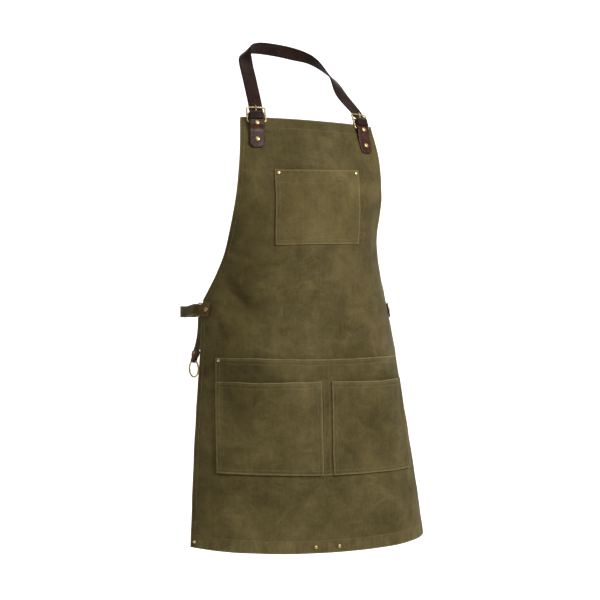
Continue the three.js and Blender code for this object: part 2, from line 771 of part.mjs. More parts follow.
// Hanging strap, its leather end and ring. The ring turns about the strap's width at the pivot, and the
// strap leans out from the body on its way down to it.
const pivot = new THREE.Vector3(RING_PIVOT.x, RING_PIVOT.y, RING_PIVOT.z);
const ringTurn = degToRad(RING_TURN);
const ringAcross = new THREE.Vector3(-Math.cos(ringTurn), Math.sin(ringTurn), 0);
const ringOut = new THREE.Vector3(-Math.sin(ringTurn), -Math.cos(ringTurn), 0);
const hangerUp = UP.clone().applyAxisAngle(ringAcross, degToRad(HANGER_LEAN));
const hangerOut = ringOut.clone().applyAxisAngle(ringAcross, degToRad(HANGER_LEAN));

function hangerStrap(rivets) {
  const sewn = [HANGER_TOP_Z, (HANGER_TOP_Z + HANGER_FREE_Z) / 2, HANGER_FREE_Z].map((z) => ({
    point: onCloth(HANGER_U, z, HANGER_LIFT),
    face: clothFrame(HANGER_U, z).out,
  }));
  const held = [2 * HANGER_END_TOP, HANGER_END_TOP, HANGER_END_TOP / 2].map((rise) => ({
    point: pivot.clone().addScaledVector(hangerUp, rise),
    face: hangerOut,
  }));
  const knots = [...sewn, ...held];
  const path = new THREE.CatmullRomCurve3(knots.map((knot) => knot.point), false, 'centripetal');
  const faces = new THREE.CatmullRomCurve3(knots.map((knot) => knot.face), false, 'catmullrom', 0.5);
  const stations = Array.from({ length: HANGER_STEPS + 1 }, (_, i) => ({
    point: path.getPoint(i / HANGER_STEPS),
    face: faces.getPoint(i / HANGER_STEPS),
  }));
  return cut(ribbon(stations, HANGER_WIDTH, HANGER_THICK), rivetHoles(rivets));
}

function hangerEndFace(t) {
  return lerp(HANGER_THICK / 2 + GAP, HANGER_END_BORE, smoothstep(t, -HANGER_END_TOP / 2, 0));
}

function hangerEnd(rivets) {
  const profile = foldedProfile({
    start: -HANGER_END_TOP,
    steps: 4,
    arc: HANGER_END_BORE,
    thickness: HANGER_END_LEATHER,
    front: hangerEndFace,
    back: (t) => -hangerEndFace(t),
    toPlane: (t, lift) => new THREE.Vector2(lift, -t),
    barHeight: 0,
  });
  const strip = place(plate(profile, HANGER_WIDTH), {
    origin: pivot,
    x: hangerOut,
    y: hangerUp,
    z: hangerOut.clone().cross(hangerUp),
  });
  const wide = HANGER_WIDTH / 2 + GAP;
  const narrow = HANGER_END_NECK / 2;
  const top = 2 * HANGER_END_TOP;
  const outline = new THREE.Shape([
    new THREE.Vector2(-narrow, -HANGER_END_TOP),
    new THREE.Vector2(narrow, -HANGER_END_TOP),
    new THREE.Vector2(narrow, HANGER_END_BORE),
    new THREE.Vector2(wide, HANGER_END_TAPER),
    new THREE.Vector2(wide, top),
    new THREE.Vector2(-wide, top),
    new THREE.Vector2(-wide, HANGER_END_TAPER),
    new THREE.Vector2(-narrow, HANGER_END_BORE),
  ]);
  const shaped = place(plate(outline, HANGER_WIDTH), {
    origin: pivot,
    x: ringAcross,
    y: hangerUp,
    z: ringAcross.clone().cross(hangerUp),
  });
  return cut(trim(strip, shaped), rivetHoles(rivets));
}

function hangerRivet() {
  const face = HANGER_THICK / 2 + GAP + HANGER_END_LEATHER + GAP;
  const frame = {
    origin: pivot.clone().addScaledVector(hangerUp, HANGER_RIVET_UP),
    x: ringAcross,
    y: hangerOut,
    z: ringAcross.clone().cross(hangerOut),
  };
  return { name: 'hanger_rivet', frame, geometry: place(rivetGeometry(HANGER_CAP, face, -face), frame) };
}

function hangerRing() {
  return place(new THREE.TorusGeometry(RING_RADIUS, RING_WIRE, RING_SIDES, RING_STEPS), {
    origin: pivot.clone().addScaledVector(UP, -RING_RADIUS),
    x: ringAcross,
    y: UP,
    z: ringAcross.clone().cross(UP),
  });
}

// Rivets of each piece

const tabRivets = SIDES.map(({ name, sign }) => TAB_RIVET_Z.map((z, i) => {
  const t = (z - TAB_BAR_Z) / neckTabFrame(sign).up.z;
  const outer = tabFront(t) + LEATHER;
  const inner = TAB_BACK_LIFT - LEATHER;
  return clothRivet(`neck_tab_rivet_${name}_${i + 1}`, tabSpot(sign, t).u, z, TAB_CAP, outer, inner);
}));
const chestRivets = SIDES.map(({ name, sign }) => {
  const u = (sign < 0 ? CHEST_POCKET.from : CHEST_POCKET.to) - sign * POCKET_RIVET_IN;
  const z = chestHead(u) - POCKET_RIVET_IN;
  return clothRivet(`chest_pocket_rivet_${name}`, u, z, POCKET_CAP, POCKET_RIVET_FACE, 0);
});
const lowerRivets = SIDES.map(({ name, sign }) => clothRivet(
  `lower_pocket_rivet_${name}`,
  sign * (LOWER_OUTER - POCKET_RIVET_IN),
  BACK_POCKET.top - LOWER_RIVET_DOWN,
  POCKET_CAP,
  POCKET_RIVET_FACE,
  0,
));
const patchRivets = SIDES.map(({ name, sign }) => clothRivet(
  `waist_patch_rivet_${name}`,
  sign * (halfWidth(WAIST_Z) - PATCH_RIVET_IN),
  WAIST_Z,
  PATCH_CAP,
  CANVAS + PATCH_CLEAR + LEATHER,
  -PATCH_CLEAR - LEATHER,
));
const hemRivets = [
  ['hem_rivet_right', HEM_RIVET_IN - HEM_HALF],
  ['hem_rivet_mid_right', HEM_RIVET_MID_RIGHT],
  ['hem_rivet_mid_left', HEM_RIVET_MID_LEFT],
  ['hem_rivet_left', HEM_HALF - HEM_RIVET_IN],
].map(([name, u]) => clothRivet(name, u, hemHeight(u) + HEM_RIVET_UP, POCKET_CAP, CANVAS, 0));
const endRivet = hangerRivet();
const panelRivets = [tabRivets, chestRivets, lowerRivets, patchRivets, hemRivets].flat(2);

// Body panel and pockets

function bodyPanel() {
  const rows = BIB_ROWS + SKIRT_ROWS;
  const sheet = wall(PANEL_COLUMNS, rows, (p, q, side) => {
    const row = Math.round(q * rows);
    const inBib = row <= BIB_ROWS;
    const down = inBib ? row / BIB_ROWS : (row - BIB_ROWS) / SKIRT_ROWS;
    const height = inBib ? lerp(BIB_TOP, ARMHOLE_END, down) : lerp(ARMHOLE_END, HEM_SIDE, down);
    const share = lerp(-1, 1, p);
    const u = lerp(share, Math.sin(share * Math.PI / 2), EDGE_CROWDING) * halfWidth(height);
    const z = inBib ? height - BIB_LEAN * share * (1 - down) : lerp(ARMHOLE_END, hemHeight(u), down);
    return onCloth(u, z, side * CANVAS);
  });
  return cut(sheet, rivetHoles(panelRivets));
}

function chestPocket() {
  const outline = { from: CHEST_POCKET.from, to: CHEST_POCKET.to, head: chestHead, foot: chestFoot };
  return cut(pocketWall(POCKET_COLUMNS, outline, chestPocketFace), rivetHoles(chestRivets));
}

function backPocket() {
  const head = () => BACK_POCKET.top;
  const outline = { from: -LOWER_OUTER, to: LOWER_OUTER, head, foot: lowerFoot };
  return cut(pocketWall(2 * POCKET_COLUMNS, outline, backPocketFace), rivetHoles(lowerRivets));
}

function frontPocket(sign) {
  const edges = [sign * FRONT_POCKET.inner, sign * LOWER_OUTER].sort((a, b) => a - b);
  const head = () => FRONT_POCKET.top;
  const outline = { from: edges[0], to: edges[1], head, foot: lowerFoot };
  return pocketWall(POCKET_COLUMNS, outline, frontPocketFace);
}

// The assembly, moved so that the nape is the origin

const apron = new THREE.Group();
const nape = new THREE.Vector3(0, NAPE_BEHIND_AXIS, NAPE_HEIGHT);

function addPiece(name, geometry, material) {
  const solid = weld(geometry);
  solid.computeVertexNormals();
  const mesh = new THREE.Mesh(solid, material);
  mesh.name = name;
  mesh.position.copy(nape).negate();
  apron.add(mesh);
}

addPiece('body_panel', bodyPanel(), canvas);
addPiece('chest_pocket', chestPocket(), canvas);
addPiece('lower_pocket_back', backPocket(), canvas);
addPiece('neck_strap', neckStrap(), leather);
addPiece('waist_strap', waistStrap(), webbing);
SIDES.forEach(({ name, sign }, i) => {
  const { across, up, out, origin } = neckTabFrame(sign);
  addPiece(`lower_pocket_${name}`, frontPocket(sign), canvas);
  addPiece(`neck_tab_${name}`, neckTab(sign, tabRivets[i]), leather);
  addPiece(`buckle_${name}`, place(bucklePlate(), { origin, x: across, y: up, z: out }), brass);
  const prong = plate(prongShape(), PRONG_WIDTH);
  addPiece(`prong_${name}`, place(prong, { origin, x: up, y: out, z: across }), brass);
  addPiece(`waist_patch_${name}`, waistPatch(sign, [patchRivets[i]]), patchLeather);
  addPiece(`waist_ring_${name}`, waistRing(sign), brass);
});
addPiece('hanger_strap', hangerStrap([endRivet]), webbing);
addPiece('hanger_end', hangerEnd([endRivet]), leather);
addPiece('hanger_ring', hangerRing(), brass);
for (const rivet of [...panelRivets, endRivet]) {
  addPiece(rivet.name, rivet.geometry, brass);
}

export default apron;
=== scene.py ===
import math
from types import SimpleNamespace

import bpy
import numpy as np
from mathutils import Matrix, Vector


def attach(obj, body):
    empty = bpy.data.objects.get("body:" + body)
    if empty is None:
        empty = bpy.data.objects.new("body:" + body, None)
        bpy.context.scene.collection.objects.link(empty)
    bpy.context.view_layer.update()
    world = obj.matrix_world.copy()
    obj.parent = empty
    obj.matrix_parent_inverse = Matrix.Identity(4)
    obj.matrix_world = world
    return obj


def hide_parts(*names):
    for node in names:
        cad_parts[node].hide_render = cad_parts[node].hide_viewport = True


# Looks of the worn canvas apron: waxed canvas with its seams, leather, brass and thread over the packed
# frame. Sizes are in millimetres on the body that wears it: heights count down from the nape, x is to the
# wearer's left and -y is forward. to_frame() turns them into the frame's metres.

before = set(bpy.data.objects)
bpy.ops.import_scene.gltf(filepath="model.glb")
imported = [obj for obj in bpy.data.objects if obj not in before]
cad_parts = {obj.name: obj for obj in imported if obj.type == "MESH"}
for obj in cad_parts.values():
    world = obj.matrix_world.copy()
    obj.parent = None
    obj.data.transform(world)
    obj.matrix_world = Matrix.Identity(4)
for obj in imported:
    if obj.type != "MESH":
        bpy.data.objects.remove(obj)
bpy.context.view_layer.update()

MM = 0.001
NAPE = np.array([0.0, 68.7, -3.2])
UP = np.array([0.0, 0.0, 1.0])
SIDES = {"right": -1, "left": 1}

# Walls and gaps
CANVAS = 1.6
LEATHER = 2.2
STRAP_CANVAS = 2.2
GAP = 0.3
LAYER_GAP = 0.6

# Body panel
BIB_TOP = -155
BIB_LEAN = 1.8
ARMHOLE_END = -498
HEM_SIDE = -957
HEM_DIP = 11.5
HEM_LEAN = 4.8
BIB_HALF = 141
ARMHOLE_FLARE = 50
ARMHOLE_SWEEP = 50
WAIST_HALF = 241
HEM_HALF = 266
PANEL_COLUMNS = 140
BIB_ROWS = 90
SKIRT_ROWS = 120
EDGE_CROWDING = 0.4

# Horizontal sections of the worn cloth: height, front, and the degrees turned at FORM_HALF
FORM_HALF = 270
TURN_STEPS = 30
FRAME_REACH = 2
WORN_FORM = [
    # z, front, bend, curl
    (-125, 43, 31, 53),
    (-155, 54, 31, 53),
    (-225, 79, 33, 51),
    (-300, 95.5, 47, 48),
    (-390, 98, 66, 41),
    (-520, 101, 55, 28),
    (-610, 111, 48, 25),
    (-800, 121, 30, 29),
    (-970, 131, 17, 37),
]

# Soft folds and dents: centre, half-width, half-length and push
FOLDS = [
    # u, z, across, along, push
    (148, -352, 16, 70, -2.5),
    (175, -355, 34, 62, -3.5),
    (-178, -452, 22, 60, -3),
    (-160, -512, 19, 22, -4),
    (-194, -541, 16, 18, 2.5),
    (-208, -574, 14, 24, -3.5),
    (-60, -505, 60, 26, -2.5),
    (75, -470, 70, 22, 2),
    (268, -760, 42, 190, -4.5),
    (150, -880, 26, 90, 4),
    (-140, -890, 30, 85, -4),
]

# Creases that run slantwise: centre, half-length, half-width, slant in degrees and push
CREASES = [
    # u, z, long, wide, slant, push
    (-160, -416, 34, 11, -17, -4.2),
    (-172, -460, 34, 17, -30, 2.6),
    (-158, -498, 32, 11, -44, -4),
    (-200, -552, 26, 12, -60, -3),
    (-95, -560, 46, 12, -25, -1.2),
    (60, -540, 60, 12, 18, 1.3),
    (128, -450, 60, 8, 82, 1.6),
    (150, -560, 60, 9, 80, 1.4),
    (-120, -880, 60, 14, -20, -1.6),
    (40, -900, 55, 13, 15, 1.4),
    (195, -850, 60, 12, 70, 1.6),
]

# Creases fade this near the edges
EDGE_HOLDS = 40

# Small dents that the cloth keeps from use: waves of all directions
DENT_WAVES = 18
DENT_LENGTHS = (34, 95)
DENT_DEPTH = 0.55
DENT_SEED = 5

# Pockets
CHEST = {"from": -90, "to": 86, "top": -255, "bottom": -396, "rise": 6, "gape": 7, "sag": 4}
LOWER_OUTER = 210
LOWER_BOTTOM = -826
LOWER_FOOT_RISE = 9
BACK = {"top": -607, "rise": 0, "gape": 8, "sag": 3}
FRONT = {"inner": 10.5, "top": -651, "rise": 0, "gape": 10, "sag": 2.5}
SEAM_SHARE = 0.07
POCKET_CELL = 2.6

# Seams: places of the stitch lines from the edges
STITCH_PITCH = 3.6
STITCH_LENGTH = 2.7
STITCH_RADIUS = 0.42
DOUBLE_SEAM = (2.6, 8.6)
CHEST_EDGE = 3
CHEST_HEM = 23
POCKET_HEM = (4, 10.5)
BOTTOM_HEM = 23
SIDE_HEM = 9
BIB_HEM = 20
CENTRE_SEAM = 5
STRAP_SEAM = 2.6
SEAM_START = 1
SEAM_END = 2
TOP_POINTS = 200
FOOT_POINTS = 400
SIDE_POINTS = 600
POCKET_POINTS = 240
POCKET_SIDE_POINTS = 160
CENTRE_POINTS = 200

# Neck tabs, buckles and strap
TAB_U = 111
TAB_BAR_Z = -150
TAB_END_Z = -214
TAB_WIDTH = 30
TAB_END_RADIUS = 11
TAB_RIVET_Z = (-167.5, -198)
TAB_RESTS_BELOW = 32
TAB_LEAVES_BELOW = 19
TAB_FOLD_OPENS = 3
TAB_SWELL = 1.2
TAB_BACK_LIFT = -1.3
TAB_STEPS = 40
BUCKLE_WIDTH = 38
BUCKLE_HEIGHT = 33.6
BUCKLE_CORNER = 5
WIRE = 3.2
BAR_PITCH = (BUCKLE_HEIGHT - WIRE) / 2
BAR_CLEAR = 0.4
BAR_BORE = 2.4
BAR_SHARE = 0.92
BAR_STEPS = 9
TAB_BAR_LIFT = CANVAS + WIRE / 2 + BAR_CLEAR
PRONG_WIDTH = 2.6
PRONG_THICK = 1.6
PRONG_EYE = np.radians(np.linspace(330, 90, 16))[:, None]
PRONG_ARM_FROM = 3
PRONG_ARM_STEPS = 12
PRONG_TIP = 0.78
PRONG_CORNER = 0.9
NECK_STRAP_WIDTH = 26.5
STRAP_TAIL = 11
TAIL_STEPS = 8
BEND_STEPS = 9
STRAP_CORNER = 2
NECK_STEPS = 170
NECK_ROUTE = [
    # x, y, z and the way the outer face looks
    (-106, 1, -76, -0.27, -0.88, 0.4),
    (-104, 24, -42, -0.34, -0.8, 0.5),
    (-100, 38, -21, -0.62, -0.3, 0.72),
    (-90, 49, -8, -0.6, 0.25, 0.76),
    (-68, 57, -2, -0.36, 0.64, 0.68),
    (-20, 67, -1, -0.08, 0.78, 0.62),
    (20, 71, -5, 0.1, 0.76, 0.64),
    (52, 70, -12, 0.44, 0.42, 0.79),
    (70, 64, -23, 0.64, 0.08, 0.76),
    (82, 51, -39, 0.66, -0.25, 0.7),
    (90.5, 35, -57, 0.46, -0.54, 0.7),
    (94.5, 7, -91, 0.06, -0.79, 0.6),
]

# Waist patches, loops and strap
WAIST_Z = -517
PATCH_REACH = 21.5
PATCH_HEIGHT = 30
PATCH_NECK = 20
PATCH_CORNER = 3
PATCH_BAR_OUT = 6
PATCH_BAR_LIFT = CANVAS / 2
PATCH_TAPER_FROM = 10
PATCH_TAPER_TO = 4
PATCH_FOLD_OPENS = 6
PATCH_BORE = 2.2
PATCH_CLEAR = 1
PATCH_RIVET_IN = 14
PATCH_STEPS = 26
WAIST_RING_LENGTH = 9
WAIST_RING_HEIGHT = 29
WAIST_RING_CORNER = 1.7
RING_BAR = 2.6
WAIST_STRAP_WIDTH = 22
WAIST_TAIL = 34
WAIST_STEPS = 110
WAIST_FINE_STEPS = 600
WAIST_CORNER_KNOTS = 5
WAIST_TURN_STEPS = 14
WAIST_LOOP = {"half": 208, "back": 142, "corner": 44, "drop": 3.5}
WAIST_LEAD = 9
HIP = {"inset": 2, "y": 78}

# Hanging strap with its ring
HANGER_WIDTH = 20
HANGER_THICK = 2
HANGER_TOP_Z = -504
HANGER_FREE_Z = -534
HANGER_U = -250
HANGER_LIFT = -4.9
HANGER_END_LEATHER = 1.8
HANGER_END_TOP = 19
HANGER_END_TAPER = 11
HANGER_END_NECK = 10.4
HANGER_END_BORE = 3
HANGER_END_CORNER = 2
HANGER_END_STEPS = 24
HANGER_HELD = (2, 1, 0.5)
HANGER_STEPS = 60
HANGER_SEWN = 45
HANGER_LEAN = 17
HANGER_RIVET_UP = 14
RING_PIVOT = np.array([-210.0, 27.0, -613.0])
RING_TURN = 78
RING_RADIUS = 15.7
RING_WIRE = 1.7
RING_STEPS = 64

# Rivets
SHANK = 1.5
CAP_RISE = 1.7
BACK_CAP = 0.8
BACK_CAP_RADIUS = 3.2
POCKET_CAP = 3.4
TAB_CAP = 4.6
PATCH_CAP = 4.2
HANGER_CAP = 2.6
HEM_RIVET_UP = 11
HEM_RIVET_MID = {"right": -28.5, "left": 19.5}
HEM_RIVET_IN = 9
POCKET_RIVET_IN = 7
LOWER_RIVET_DOWN = 4.5
POCKET_RIVET_FACE = 2 * CANVAS + LAYER_GAP

# Camera
CAMERA_TURN = 25
CAMERA_DISTANCE = 2600
CAMERA_HEIGHT = -521
CAMERA_LENS = 80
CAMERA_SENSOR = 36
CAMERA_SHIFT = 0.02
VIEW = np.array([math.sin(math.radians(CAMERA_TURN)), math.cos(math.radians(CAMERA_TURN)), 0])
VIEW_RIGHT = np.cross(VIEW, UP)


# Small helpers

def lerp(a, b, t):
    return a + (b - a) * t


def smoothstep(x, low, high):
    t = np.clip((x - low) / (high - low), 0, 1)
    return t * t * (3 - 2 * t)


def unit(v):
    v = np.asarray(v, float)
    return v / np.linalg.norm(v, axis=-1, keepdims=True)


def to_frame(points):
    return (np.asarray(points, float) - NAPE) * MM


def run_along(points):
    """Distances along a path."""
    return np.concatenate([[0], np.cumsum(np.linalg.norm(np.diff(points, axis=0), axis=1))])


def resampled(places, run, values):
    return np.stack([np.interp(places, run, values[:, k]) for k in range(3)], axis=1)


def spline(knots, places, power):
    """Catmull-Rom curve through knots at places from 0 to 1: power 0.5 centripetal, 0 even."""
    knots = np.asarray(knots, float)
    full = np.vstack([2 * knots[0] - knots[1], knots, 2 * knots[-1] - knots[-2]])
    last = len(knots) - 2
    result = []
    for place in places:
        at = min(max(place, 0), 1) * (last + 1)
        i = min(int(at), last)
        p = full[i:i + 4]
        steps = np.linalg.norm(np.diff(p, axis=0), axis=1) ** power
        t = np.concatenate([[0], np.cumsum(steps)])
        x = lerp(t[1], t[2], at - i)
        a = [lerp(p[k], p[k + 1], (x - t[k]) / (t[k + 1] - t[k])) for k in range(3)]
        b = [lerp(a[k], a[k + 1], (x - t[k]) / (t[k + 2] - t[k])) for k in range(2)]
        result.append(lerp(b[0], b[1], (x - t[1]) / (t[2] - t[1])))
    return np.array(result)


# The worn cloth

FORM_KNOTS = -np.array([row[0] for row in WORN_FORM], float)
FORM_VALUES = np.array([row[1:] for row in WORN_FORM], float)
FORM_SECANTS = np.diff(FORM_VALUES, axis=0) / np.diff(FORM_KNOTS)[:, None]
FORM_SLOPES = (np.vstack([FORM_SECANTS[:1], FORM_SECANTS]) + np.vstack([FORM_SECANTS, FORM_SECANTS[-1:]])) / 2


def form_at(z):
    """front, bend and curl at heights z: a smooth curve through the sections."""
    t = -np.asarray(z, float)
    i = np.clip(np.searchsorted(FORM_KNOTS, t, side="right"), 1, len(FORM_KNOTS) - 1)
    span = (FORM_KNOTS[i] - FORM_KNOTS[i - 1])[..., None]
    p = (t - FORM_KNOTS[i - 1])[..., None] / span
    before, after = FORM_SLOPES[i - 1] * span, FORM_SLOPES[i] * span
    change = FORM_VALUES[i] - FORM_VALUES[i - 1]
    bend = 3 * change - 2 * before - after
    return FORM_VALUES[i - 1] + p * (before + p * (bend + p * (before + after - 2 * change)))


def dent_table():
    rng = np.random.default_rng(DENT_SEED)
    way = rng.uniform(0, 2 * math.pi, DENT_WAVES)
    length = rng.uniform(*DENT_LENGTHS, DENT_WAVES)
    phase = rng.uniform(0, 2 * math.pi, DENT_WAVES)
    share = DENT_DEPTH * math.sqrt(2 / DENT_WAVES) * length / DENT_LENGTHS[1]
    wave = 2 * math.pi / length
    return np.stack([wave * np.cos(way), wave * np.sin(way), phase, share], axis=1)


DENTS = dent_table()


def push_at(u, z):
    push = np.zeros_like(u)
    for fold_u, fold_z, across, along, depth in FOLDS:
        push += depth * np.exp(-((u - fold_u) / across) ** 2 - ((z - fold_z) / along) ** 2)
    for crease_u, crease_z, half_long, half_wide, slant, depth in CREASES:
        c, d = math.cos(math.radians(slant)), math.sin(math.radians(slant))
        along = ((u - crease_u) * c + (z - crease_z) * d) / half_long
        across = ((z - crease_z) * c - (u - crease_u) * d) / half_wide
        inside = smoothstep(half_width(z) - np.abs(u), 0, EDGE_HOLDS)
        push += depth * inside * np.exp(-along ** 2 - across ** 2)
    for wave_u, wave_z, phase, depth in DENTS:
        push += depth * np.sin(wave_u * u + wave_z * z + phase)
    return push


def cloth(u, z):
    """Points of the panel's inner face at u along the cloth and height z."""
    u, z = np.broadcast_arrays(np.asarray(u, float), np.asarray(z, float))
    front, bend, curl = np.moveaxis(form_at(z), -1, 0)
    size = np.abs(u)

    def turn_at(s):
        share = s / FORM_HALF
        return np.radians(bend * share + curl * share ** 3)

    x = np.zeros_like(size)
    y = -front
    for i in range(TURN_STEPS):
        turn = turn_at(size * (i + 0.5) / TURN_STEPS)
        x = x + np.cos(turn) * size / TURN_STEPS
        y = y + np.sin(turn) * size / TURN_STEPS
    push = push_at(u, z)
    turn = turn_at(size)
    return np.stack([np.sign(u) * (x + push * np.sin(turn)), y - push * np.cos(turn), z], axis=-1)


def cloth_frame(u, z):
    """The cloth's directions across, up and out."""
    across = unit(cloth(u + FRAME_REACH, z) - cloth(u - FRAME_REACH, z))
    up = unit(cloth(u, z + FRAME_REACH) - cloth(u, z - FRAME_REACH))
    out = unit(np.cross(across, up))
    return across, np.cross(out, across), out


def on_cloth(u, z, lift):
    out = cloth_frame(np.asarray(u, float), np.asarray(z, float))[2]
    return cloth(u, z) + out * np.asarray(lift, float)[..., None]


def cloth_place(u, z, lift):
    """One place off the cloth, with the cloth's directions there."""
    u, z = np.array(float(u)), np.array(float(z))
    across, up, out = cloth_frame(u, z)
    return SimpleNamespace(u=u, across=across, up=up, out=out, origin=on_cloth(u, z, lift))


def half_width(z):
    z = np.asarray(z, float)
    t = (BIB_TOP - z) / (BIB_TOP - ARMHOLE_END)
    bib = BIB_HALF + ARMHOLE_FLARE * t + ARMHOLE_SWEEP * t ** 4
    skirt = lerp(WAIST_HALF, HEM_HALF, (ARMHOLE_END - z) / (ARMHOLE_END - HEM_SIDE))
    return np.where(z > ARMHOLE_END, bib, skirt)


def hem_height(u):
    share = u / HEM_HALF
    return HEM_SIDE - HEM_DIP * (1 - share ** 2) - HEM_LEAN * share


def bib_height(u):
    return BIB_TOP - BIB_LEAN * u / BIB_HALF


# How far the pockets stand off the cloth

def gape_at(gape, p, q):
    across = np.clip((p - SEAM_SHARE) / (1 - 2 * SEAM_SHARE), 0, 1)
    down = np.clip(q / (1 - SEAM_SHARE), 0, 1)
    return gape * np.sin(math.pi * across) * (1 - down)


def lower_foot(u):
    return LOWER_BOTTOM + LOWER_FOOT_RISE * np.maximum(-u, 0) / LOWER_OUTER


def lower_depth(top, u, z):
    return (top - z) / (top - lower_foot(u))


def chest_share(u):
    return (u - CHEST["from"]) / (CHEST["to"] - CHEST["from"])


def chest_foot(u):
    return CHEST["bottom"] + CHEST["rise"] * chest_share(u)


def chest_face(u, z):
    q = 1 - (z - chest_foot(u)) / (CHEST["top"] - CHEST["bottom"])
    return CANVAS + LAYER_GAP + gape_at(CHEST["gape"], chest_share(u), q)


def back_face(u, z):
    depth = lower_depth(BACK["top"], u, z)
    return CANVAS + LAYER_GAP + gape_at(BACK["gape"], np.abs(u) / LOWER_OUTER, depth)


def front_face(u, z):
    p = (np.abs(u) - FRONT["inner"]) / (LOWER_OUTER - FRONT["inner"])
    depth = lower_depth(FRONT["top"], u, z)
    return back_face(u, z) + CANVAS + LAYER_GAP + gape_at(FRONT["gape"], p, depth)


# Meshes

RIM_SHARE = 0.3
EDGE_TURNS = np.radians([0, 30, 60, 90])
CORNER_TURNS = np.radians([8, 25, 42, 60, 75, 90])
FLAT_SHARES = np.array([0.66, 0.33, 0, -0.33, -0.66])
END_EASES = 0.3
END_THINS = 0.8
FOLD_STEPS = 11


def add_object(name, data):
    made = bpy.data.objects.new(name, data)
    bpy.context.scene.collection.objects.link(made)
    return made


def add_mesh(name, points, faces, material, **fields):
    """A smooth mesh from points in metres. Each field is a vector or a number per point."""
    mesh = bpy.data.meshes.new(name)
    mesh.from_pydata(np.asarray(points).tolist(), [], [list(map(int, face)) for face in faces])
    for field, values in fields.items():
        values = np.asarray(values, np.float32)
        kind, part = ("FLOAT_VECTOR", "vector") if values.ndim == 2 else ("FLOAT", "value")
        mesh.attributes.new(field, kind, "POINT").data.foreach_set(part, values.ravel())
    mesh.shade_smooth()
    mesh.materials.append(material)
    mesh.update()
    return add_object(name, mesh)


def add_piece(node, kind, slot, points, faces, material, body="apron", **fields):
    """A piece from points in millimetres, put on its body in the place of its solid."""
    piece = add_mesh(f"{node}_{kind}", to_frame(points), faces, material, **fields)
    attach(piece, body)
    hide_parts(node)
    return piece


def quads(index):
    """Faces over a grid of point numbers."""
    return np.stack([index[:-1, :-1], index[:-1, 1:], index[1:, 1:], index[1:, :-1]], axis=-1).reshape(-1, 4)


def tube_sides(rings, sides, closed=False):
    """Faces between rings of points."""
    index = np.arange(rings * sides).reshape(rings, sides)
    index = np.hstack([index, index[:, :1]])
    return quads(np.vstack([index, index[:1]]) if closed else index).tolist()


def tube_faces(rings, sides):
    """Faces of an open tube with flat ends."""
    last = (rings - 1) * sides
    return tube_sides(rings, sides) + [list(range(sides))[::-1], list(range(last, last + sides))]


def sheet_piece(node, u, z, inner, outer, seams, material):
    """A closed cloth wall over a grid of places on the cloth, with a rounded rim."""
    front = on_cloth(u, z, outer).reshape(-1, 3)
    behind = on_cloth(u, z, inner).reshape(-1, 3)
    count = len(front)
    index = np.arange(count).reshape(u.shape)
    loop = np.concatenate([index[0], index[1:, -1], index[-1, -2::-1], index[-2:0:-1, 0]])
    inside = np.pad(index[1:-1, 1:-1], 1, "edge").ravel()[loop]
    away = unit(front[loop] - front[inside])
    rim = (front[loop] + behind[loop]) / 2 + away * CANVAS * RIM_SHARE
    near = np.arange(len(loop)) + 2 * count
    far, ahead = np.roll(near, -1), np.roll(loop, -1)
    faces = np.vstack([
        quads(index.T),
        quads(index.T + count)[:, ::-1],
        np.stack([loop, ahead, far, near], axis=1),
        np.stack([near, far, ahead + count, loop + count], axis=1),
    ])
    place = np.stack([u.ravel(), z.ravel(), np.zeros(count)], axis=1) * MM
    seam = np.stack([field.ravel() for field in seams], axis=1)
    return add_piece(
        node, "cloth", "canvas", np.vstack([front, behind, rim]), faces, material,
        cloth=np.vstack([place, place, place[loop]]),
        seam=np.vstack([seam, seam, seam[loop] * 0]),
    )


def flat_area(u, z):
    """Area of a grid on the cloth, in square metres."""
    points = on_cloth(u, z, CANVAS / 2 + np.zeros_like(u))
    across, down = np.diff(points, axis=1)[:-1], np.diff(points, axis=0)[:, :-1]
    return float(np.linalg.norm(np.cross(across, down), axis=-1).sum()) * MM * MM


